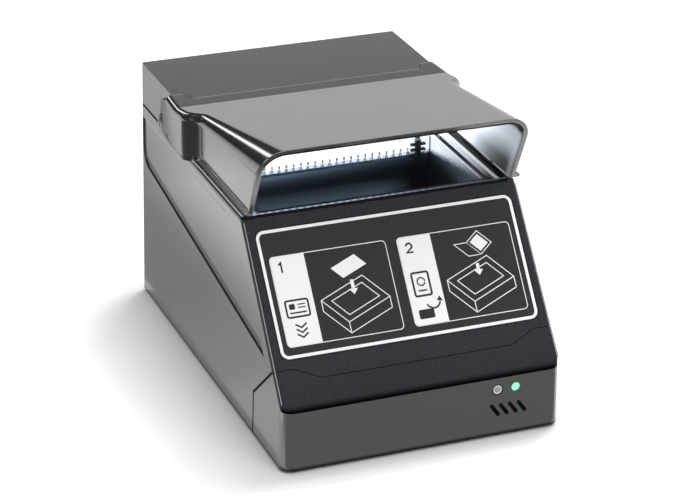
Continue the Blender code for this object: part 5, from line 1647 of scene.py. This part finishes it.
@dataclass
class Label:
    """Printed label on the slope: a bordered dark film with two picture panels."""

    case: Case
    half: float = 78.8
    start: float = 30.0
    end: float = 105.3
    corner: float = 5.0
    thickness: float = 0.5
    sunk: float = 0.6
    panels: tuple[tuple[float, float], tuple[float, float]] = ((-73.4, -3.6), (3.4, 73.2))
    panel_low: float = 36.9
    panel_high: float = 89.0
    panel_corner: float = 2.4
    band: float = 20.6
    border: float = 1.75
    border_in: float = 1.35
    thin: float = 0.5
    frame_line: float = 0.45
    round: float = 4.0
    film_edge: float = 0.12
    ink: float = 0.04
    dark_lift: float = 0.045
    dark_ink: float = 0.03
    numeral_at: Flat = (4.6, 9.6)
    signs: tuple[tuple[Sign, Sign, Flat], ...] = (
        (ONE, CARD_SIGN, (3.6, 16.5)), (TWO, BOOKLET_SIGN, (4.0, 17.0)))
    arrow_head: Flat = (2.7, 3.3)
    arrow_stem: float = 1.0
    middle_up: float = 21.6
    box: Place = (30.0, 22.0, 6.4)
    window: Flat = (22.0, 14.0)
    long_axis: Flat = (0.9, 0.36)
    short_axis: Flat = (-0.62, 0.66)

    def build(self) -> None:
        """Print the label."""
        plane = self.case.slope_plane
        film = Work("label_film")
        outline = rounded((-self.half, self.start), (self.half, self.end), self.corner, 12)
        top = self.thickness - self.sunk
        film.pillow(outline, -self.sunk, top, self.film_edge, plane)
        film.place(FILM_DARK, Body.BASE, Slot.PRINT, ["instruction_label"])
        white = Ink("label_white_ink", plane, top, self.ink)
        half, inset = self.half - self.border_in, self.border_in
        outline = rounded((-half, self.start + inset), (half, self.end - inset), self.round, 12)
        white.line(outline, self.border, True)
        dark = Ink("label_dark_ink", plane, top + self.dark_lift, self.dark_ink)
        across, down = self.numeral_at
        drawings = (self.card_drawing, self.booklet_drawing)
        for (low, high), (numeral, sign, (right, up)), drawing in zip(self.panels, self.signs, drawings):
            outline = rounded((low, self.panel_low), (high, self.panel_high), self.panel_corner)
            white.line(outline, self.frame_line, True)
            self.side_band(white, low)
            dark.draw(numeral, (low + across, self.panel_high - down))
            dark.draw(sign, (low + right, self.panel_low + up))
            drawing(white, low + self.band, high)
        white.work.place(FILM_PALE, Body.BASE, Slot.PRINT)
        dark.work.place(FILM_DARK, Body.BASE, Slot.PRINT)

    def side_band(self, ink: Ink, low: float) -> None:
        """Print the pale band at the left of a panel, round at its outer corners.

        Args:
            ink: The layer.
            low: Left edge of the panel.
        """
        foot, head, right, corner = self.panel_low, self.panel_high, low + self.band, self.panel_corner
        outline = arc((low + corner, foot + corner), corner, 180, 270, 8) + [(right, foot), (right, head)]
        ink.area(outline + arc((low + corner, head - corner), corner, 90, 180, 8))

    def slanted(self, middle: Flat, width: float, depth: float) -> list[Flat]:
        """Corners of a rectangle in the slanted plane: near, right, far and left."""
        a, b, m = Vector(self.long_axis) * width / 2, Vector(self.short_axis) * depth / 2, Vector(middle)
        return [tuple(m - a - b), tuple(m + a - b), tuple(m + a + b), tuple(m - a + b)]

    def platen(self, ink: Ink, middle: Flat) -> None:
        """Flat box with a window in outline, seen from above one corner.

        Args:
            ink: The layer.
            middle: Middle of its upper face.
        """
        width, depth, height = self.box
        top = self.slanted(middle, width, depth)
        ink.line(top, self.thin, True)
        near, right, left = top[0], top[1], top[3]
        foot = [(x, y - height) for x, y in (left, near, right)]
        ink.line([left, *foot, right], self.thin)
        ink.line([near, foot[1]], self.thin)
        ink.line(self.slanted(middle, *self.window), self.thin, True)

    def arrow(self, ink: Ink, tip: Flat, length: float) -> None:
        """Arrow that points down.

        Args:
            ink: The layer.
            tip: Its point.
            length: Its length.
        """
        (half, high), stem = self.arrow_head, self.arrow_stem
        head = ((0.0, 0.0), (half, high), (-half, high))
        ink.draw(Sign((), (head, ((-stem, high), (stem, high), (stem, length), (-stem, length)))), tip)

    def card_drawing(self, ink: Ink, low: float, high: float) -> None:
        """A card going down on the window of a platen.

        Args:
            ink: The layer.
            low: Left edge of the drawing.
            high: Right edge of the drawing.
        """
        x, y = (low + high) / 2, self.panel_low + self.middle_up
        self.platen(ink, (x, y))
        self.arrow(ink, (x, y + 2.6), 8.5)
        ink.area(self.slanted((x, y + 19.0), 17.0, 10.0))

    def booklet_drawing(self, ink: Ink, low: float, high: float) -> None:
        """An open booklet going down on the window of a platen.

        Args:
            ink: The layer.
            low: Left edge of the drawing.
            high: Right edge of the drawing.
        """
        x, y = (low + high) / 2, self.panel_low + self.middle_up
        self.platen(ink, (x, y))
        self.arrow(ink, (x, y + 2.0), 7.0)
        m = Vector((x, y + 17.9))
        a, b, up = Vector(self.long_axis) * 8.6, Vector(self.short_axis) * 6.0, Vector((0.0, 2.9))
        for sign in (-1, 1):
            page = [m - b, m - b + a * sign + up, m + b + a * sign + up, m + b]
            ink.line([tuple(p) for p in page], self.thin, True)
        picture = ((-0.75, 0.15), (-0.75, 0.85), (0.75, 0.85), (0.75, 0.15))
        ink.area([tuple(m + b * across + (a + up) * along) for across, along in picture])


@dataclass(frozen=True)
class Bead:
    """Small block of the lamp row: its half width, its foot and head about the row's height, its depth."""

    half: float
    foot: float
    head: float
    low: float
    high: float
    edge: float

    def shape(self, x: float, z: float) -> list[Flat]:
        """Its outline about a point of the row."""
        return rounded((x - self.half, z + self.foot), (x + self.half, z + self.head), 0.5, 3)


@dataclass
class LampRow:
    """Rows of lamps at both ends of the chamber, under bright screens, with their clips' posts."""

    count: int = 23
    pitch: float = 4.6
    height: float = 113.5
    tall: float = 9.0
    half: float = 54.6
    wall_rear: float = 160.0
    wall_front: float = 75.6
    screen_top: float = 120.6
    clip: float = 60.0
    inner: float = 69.0
    off_wall: float = 0.3
    board: Place = (0.0, 1.6, 0.2)
    screen: Place = (1.7, 2.3, 0.2)
    clip_half: float = 1.2
    clip_deep: float = 2.2
    clip_round: float = 0.3
    post: float = 5.2
    rib: float = 0.33
    rib_in: float = 0.4
    rib_drop: float = 20.0
    rib_gap: float = 0.7
    rib_round: float = 0.1
    lamp: Bead = Bead(1.35, -2.3, 0.1, 1.7, 2.4, 0.25)
    mark: Bead = Bead(0.75, 0.3, 2.5, 2.2, 2.7, 0.1)
    dark_gap: Bead = Bead(0.7, -2.5, -0.5, 1.65, 2.5, 0.1)

    def build(self) -> None:
        """Make both rows and the small dark parts at the rear wall."""
        self.row("rear", self.wall_rear - self.off_wall, -1.0)
        self.row("front", self.wall_front + self.off_wall, 1.0)
        posts, rear = Work("clip_posts"), self.wall_rear - 0.2
        foot, tip = self.screen_top, self.screen_top + self.post
        for side in Side:
            x, half = side.value * self.clip, self.clip_half
            posts.block((x - half, rear - self.clip_deep, foot), (x + half, rear, tip), self.clip_round)
            left, right = (side.value * (self.inner - self.rib_in) + way * self.rib for way in (-1, 1))
            for low, high in ((self.height - self.rib_drop, foot), (foot + self.rib_gap, tip)):
                posts.block((left, rear - 0.5, low), (right, rear + 0.1, high), self.rib_round)
        posts.place(MATT, Body.BASE, Slot.MATT)

    def row(self, name: str, wall: float, facing: float) -> None:
        """One board with its lamps, the marks between them and its screen.

        Args:
            name: Front or rear.
            wall: Where the board's back lies.
            facing: Which way the lamps point along y.
        """
        plane = Matrix(((1, 0, 0, 0), (0, 0, facing, wall), (0, 1, 0, 0), (0, 0, 0, 1)))
        board = Work(name + "_lamp_board")
        low = self.height - self.tall / 2
        board.pillow(rounded((-self.half, low), (self.half, low + self.tall), 0.8, 4), *self.board, plane)
        board.place(DARK_BOARD, Body.BASE, Slot.LAMPS, [name + "_led_board"])
        screen = Work(name + "_lamp_screen")
        shape = rounded((-self.half, self.height - 0.1), (self.half, self.screen_top), 0.5, 4)
        screen.pillow(shape, *self.screen, plane)
        screen.place(SCREEN_LIT, Body.BASE, Slot.LAMPS)
        lamps, marks, gaps = (Work(name + words) for words in ("_lamps", "_lamp_marks", "_lamp_gaps"))
        for index in range(self.count):
            x = (index - (self.count - 1) / 2) * self.pitch
            between = x + self.pitch / 2
            for work, middle, bead in ((lamps, x, self.lamp), (marks, between, self.mark),
                                       (gaps, between, self.dark_gap)):
                work.pillow(bead.shape(middle, self.height), bead.low, bead.high, bead.edge, plane)
        lamps.place(LAMP_LIT, Body.BASE, Slot.LAMPS)
        marks.place(MARK_PAINTED_LIGHT, Body.BASE, Slot.MATT)
        gaps.place(GAP_PAINTED_LIGHT, Body.BASE, Slot.MATT)


@dataclass
class StatusLamps:
    """The unlit and the lit lamp in the front face, each in a thin ring."""

    height: float = 29.0
    out: float = 50.65
    pitch: float = 11.3
    radius: float = 3.1
    thick: float = 0.32
    seat: float = 0.2
    rim_in: float = 2.4
    profile: tuple[Flat, ...] = (
        (-7.6, 0.2), (-7.6, 2.9), (-7.4, 3.1), (-0.7, 3.1), (-0.45, 2.85), (-0.3, 2.4), (-0.05, 1.7),
        (0.1, 0.8), (0.13, 0.15))

    def build(self) -> None:
        """Make both lamps and their rings."""
        for name, sign, lens, edge, slot in (("idle", -1, IDLE_LENS, RING_DARK, Slot.IDLE),
                                             ("ready", 1, READY_LENS, RING_PAINTED_LIGHT, Slot.READY)):
            x = self.out + sign * self.pitch / 2
            dome = Work("lamp_lens_" + name)
            dome.turned((x, self.seat, self.height), (0, -1, 0), self.profile)
            dome.place(lens, Body.BASE, slot, ["status_lamp_" + name], 50.0)
            ring = Work("lamp_ring_" + name)
            ring.loft(torus((x, self.thick, self.height), self.radius - self.thick / 2, self.thick), False)
            ring.place(edge, Body.BASE, slot)
            if slot is Slot.IDLE:
                rim = Work("lamp_rim_idle")
                inner = self.radius - self.rim_in * self.thick
                rim.loft(torus((x, self.thick, self.height), inner, self.thick), False)
                rim.place(RING, Body.BASE, slot)


def torus(centre: Place, radius: float, thick: float, steps: int = 48, sides: int = 12) -> list[Ring]:
    """Rings of a torus that faces the front, the first repeated at the end.

    Args:
        centre: Its middle.
        radius: Radius of its core.
        thick: Radius of its section.
        steps: Number of rings on the way round.
        sides: Points in each ring.

    Returns:
        The rings.
    """
    rings, middle, ahead = [], Vector(centre), Vector((0, -1, 0))
    bends = [2 * math.pi * side / sides for side in range(sides)]
    for step in range(steps + 1):
        angle = 2 * math.pi * step / steps
        across = Vector((math.cos(angle), 0, math.sin(angle)))
        rings.append([middle + across * (radius + thick * math.cos(bend)) + ahead * thick * math.sin(bend)
                      for bend in bends])
    return rings


@dataclass
class Window:
    """Front edge of the scan window: the ground glass, with painted light of the lamps, over a dark seal."""

    front: float = 68.5
    half: float = 79.0
    top: float = 128.5
    inset: float = 1.2
    seal_inset: float = 0.2
    seal_foot: float = 2.4
    seal_top: float = 0.75
    seal_thick: float = 0.35
    steps: int = 80
    section: tuple[Flat, ...] = (
        (-0.1, -0.55), (-0.45, -0.5), (-0.6, -0.25), (-0.6, 0.05), (-0.2, 0.1), (0.2, 0.0))

    def build(self) -> None:
        """Make the bead of the glass's front edge, bright with painted light, and the seal below it."""
        work, end = Work("glass_front_edge"), self.half - self.inset
        places = [2 * end * step / self.steps - end for step in range(self.steps + 1)]
        work.loft([[(x, self.front + u, self.top + v) for u, v in self.section] for x in places])
        work.place(GROUND_EDGE, Body.BASE, Slot.GLASS)
        seal, end = Work("window_front_seal"), self.half - self.seal_inset
        low, high = self.top - self.seal_foot, self.top - self.seal_top
        seal.block((-end, self.front - self.seal_thick, low), (end, self.front, high))
        seal.place(SEAL, Body.BASE, Slot.RUBBER)


@dataclass(frozen=True)
class Card(Finish):
    """Flat card that only reflections see, even or toned in steps along both its sides."""

    corner: Place
    across: Place
    up: Place
    tone: float
    steps_across: tuple[Flat, ...] = ()
    steps_up: tuple[Flat, ...] = ((0.0, 1.0), (1.0, 1.0))

    def paint(self, canvas: Canvas) -> None:
        """Lay the card's shine, its tone times both rows of steps.

        Args:
            canvas: The material's nodes.
        """
        shine = self.tone
        if self.steps_across:
            first, second = (canvas.ramp(canvas.axis(axis), [(at, (tone,) * 3) for at, tone in steps])
                             for axis, steps in (("X", self.steps_across), ("Y", self.steps_up)))
            shine = canvas.times(first, second, self.tone)
        canvas.dress(Base_Color=BLACK, Emission_Color=WHITE, Emission_Strength=shine, Specular_IOR_Level=0.0)

    def build(self) -> None:
        """Stand the card up where only reflections see it."""
        bm = bmesh.new()
        bm.faces.new([bm.verts.new(corner) for corner in ((0, 0, 0), (1, 0, 0), (1, 1, 0), (0, 1, 0))])
        card = linked(self.name, meshed(self.name, bm))
        across, up = Vector(self.across), Vector(self.up)
        turn = Matrix((across, up, across.cross(up).normalized())).transposed()
        card.matrix_world = Matrix.Translation(self.corner) @ turn.to_4x4()
        card.data.materials.append(self.material)
        for ray in ("camera", "diffuse", "transmission", "volume_scatter", "shadow"):
            setattr(card, "visible_" + ray, False)


@dataclass
class Studio:
    """Camera, floor, background, soft lamps and cards."""

    camera_at: Place = (-0.51792, -1.33549, 0.71611)
    right: Place = (0.932014, -0.362372, 0.006041)
    up: Place = (0.143969, 0.385479, 0.911416)
    ahead: Place = (0.332601, 0.848583, -0.411442)
    lens: float = 134.85
    sensor: float = 36.0
    reach: float = 30.0
    floor_half: float = 6.0
    floor_cells: int = 8
    ambient: float = 0.72
    lamps: tuple[tuple[str, Place, Place, Flat, float, Colour], ...] = (
        ("key", (0.75, 0.55, 1.6), (0.0, 0.0, 0.1), (0.8, 0.8), 17.0, (1.0, 1.0, 1.0)),
        ("front", (0.3, -1.6, 1.3), (0.0, 0.0, 0.1), (1.2, 1.0), 11.0, (1.0, 1.0, 1.0)),
        ("glow", (0.0, 0.022, 0.1315), (0.0, -0.6, 0.6), (0.145, 0.004), 0.8, (0.93, 0.97, 1.0)),
    )
    cards: tuple[Card, ...] = (
        Card("card_back_low", (-1.9, 1.2, 0.13), (1.62, 0.0, 0.0), (0.0, 0.0, 0.21), 0.02),
        Card("card_back_wide", (-3.0, 2.2, 0.13), (3.4, 0.0, 0.0), (0.0, 0.0, 2.3), 0.03),
        Card("card_flare", (-1.45, 2.1, 0.86), (0.47, 0.0, 0.0), (0.0, 0.0, 0.26), 0.8),
        Card("card_back_right", (0.4, 2.2, 0.86), (2.2, 0.0, 0.0), (0.0, 0.0, 1.3), 0.27),
        Card("card_roof", (0.4, 2.2, 0.0), (2.2, 0.0, 0.0), (0.0, 0.0, 0.855), 0.715),
        Card("card_strip", (-0.47, 2.1, 0.47), (0.36, 0.0, 0.08), (-0.6, 0.0, 0.95), 4.6,
             ((0.0, 0.05), (0.3, 0.6), (0.5, 1.0), (0.7, 0.6), (1.0, 0.05))),
        Card("card_over", (-1.4, 1.35, 1.3), (1.65, 0.0, 0.0), (0.0, 0.0, 0.95), 0.02),
        Card("card_side", (-1.7, -1.2, 0.0), (0.0, 3.1, 0.0), (0.0, 0.0, 2.4), 0.03),
        # Painted reflections: the next three cards lie just over the floor, where only reflections see them,
        # and darken the floor that the case reflects; the near one, darkest by the reader's foot, is painted
        # shade.
        Card("card_left_painted_reflection", (-1.6, -1.2, 0.002), (1.385, 0.0, 0.0), (0.0, 1.55, 0.0), 0.05,
             ((0.0, 1.0), (0.87, 1.0), (0.91, 2.2), (0.95, 6.0), (1.0, 14.0))),
        Card("card_front_painted_reflection", (-0.27, -1.4, 0.0015), (1.6, 0.0, 0.0), (0.0, 1.268, 0.0), 0.235),
        Card("card_near_painted_shade", (-0.21, -0.15, 0.001), (0.12, 0.0, 0.0), (0.0, 0.75, 0.0), 1.7,
             ((0.0, 1.2), (0.2, 1.2), (0.33, 1.1), (0.5, 0.62), (0.62, 0.4), (1.0, 0.38)),
             ((0.0, 1.0), (0.15, 1.0), (0.2, 0.79), (0.36, 0.6), (0.58, 0.6), (0.68, 0.42), (1.0, 0.42))),
        Card("card_edge", (-1.65, -0.8, 0.35), (0.0, 0.8, 0.0), (0.0, 0.0, 0.6), 5.0),
    )

    def build(self) -> None:
        """Set up the studio."""
        self.camera()
        self.floor()
        self.background()
        for card in self.cards:
            card.build()
        for lamp in self.lamps:
            self.lamp(*lamp)
        bpy.context.scene.view_settings.view_transform = "Standard"
        LOG.info("studio ready: %d cards, %d lamps", len(self.cards), len(self.lamps))

    def camera(self) -> None:
        """Stand the camera where the photograph was taken from."""
        data = bpy.data.cameras.new("camera")
        data.lens, data.sensor_width, data.clip_end = self.lens, self.sensor, self.reach
        camera = linked("camera", data)
        turn = Matrix((self.right, self.up, tuple(-a for a in self.ahead))).transposed()
        camera.matrix_world = Matrix.Translation(self.camera_at) @ turn.to_4x4()
        bpy.context.scene.camera = camera

    def floor(self) -> None:
        """Lay the pale floor that keeps the reader's shadow."""
        bm, cells = bmesh.new(), self.floor_cells
        bmesh.ops.create_grid(bm, x_segments=cells, y_segments=cells, size=self.floor_half)
        floor = linked("floor", meshed("floor", bm))
        floor.data.materials.append(FloorPaper("floor_white_painted_shadow").material)

    def background(self) -> None:
        """Shine white to the camera, to gloss and through glass, and a dim grey for fill."""
        world = bpy.data.worlds.new("studio_world")
        bpy.context.scene.world = world
        sky = Canvas(world, "Background")
        seen = [sky.node("LightPath", f"Is {ray} Ray", {}) for ray in ("Camera", "Glossy", "Transmission")]
        shine = sky.spread(sky.reckon("MAXIMUM", *seen), self.ambient, 1.0, 0.0, 1.0)
        sky.dress(Color=WHITE, Strength=shine)

    def lamp(self, name: str, place: Place, aim: Place, size: Flat, power: float, colour: Colour) -> None:
        """Hang a soft area lamp that reflections don't see.

        Args:
            name: Its name.
            place: Where it stands, in metres.
            aim: What it points at.
            size: Its width and height.
            power: Its power in watts.
            colour: Colour of its light.
        """
        data = bpy.data.lights.new(name, "AREA")
        data.shape, data.energy, data.color = "RECTANGLE", power, colour
        data.size, data.size_y = size
        lamp = linked(name, data)
        lamp.location = place
        lamp.rotation_euler = (Vector(aim) - Vector(place)).to_track_quat("-Z", "Y").to_euler()
        lamp.visible_camera = lamp.visible_glossy = False


def main() -> None:
    """Build the reader's pieces in order, then the studio."""
    logging.basicConfig(level=logging.INFO, format="%(message)s")
    case = Case()
    case.finish_nodes()
    case.soften_edges()
    for part in (Head(case), SideGroove(case), WallLine(case), Joints(case), Hood(case), Label(case),
                 LampRow(), StatusLamps(), Window(), Studio()):
        part.build()
        LOG.info("%s done", type(part).__name__)


if __name__ == "__main__":
    main()
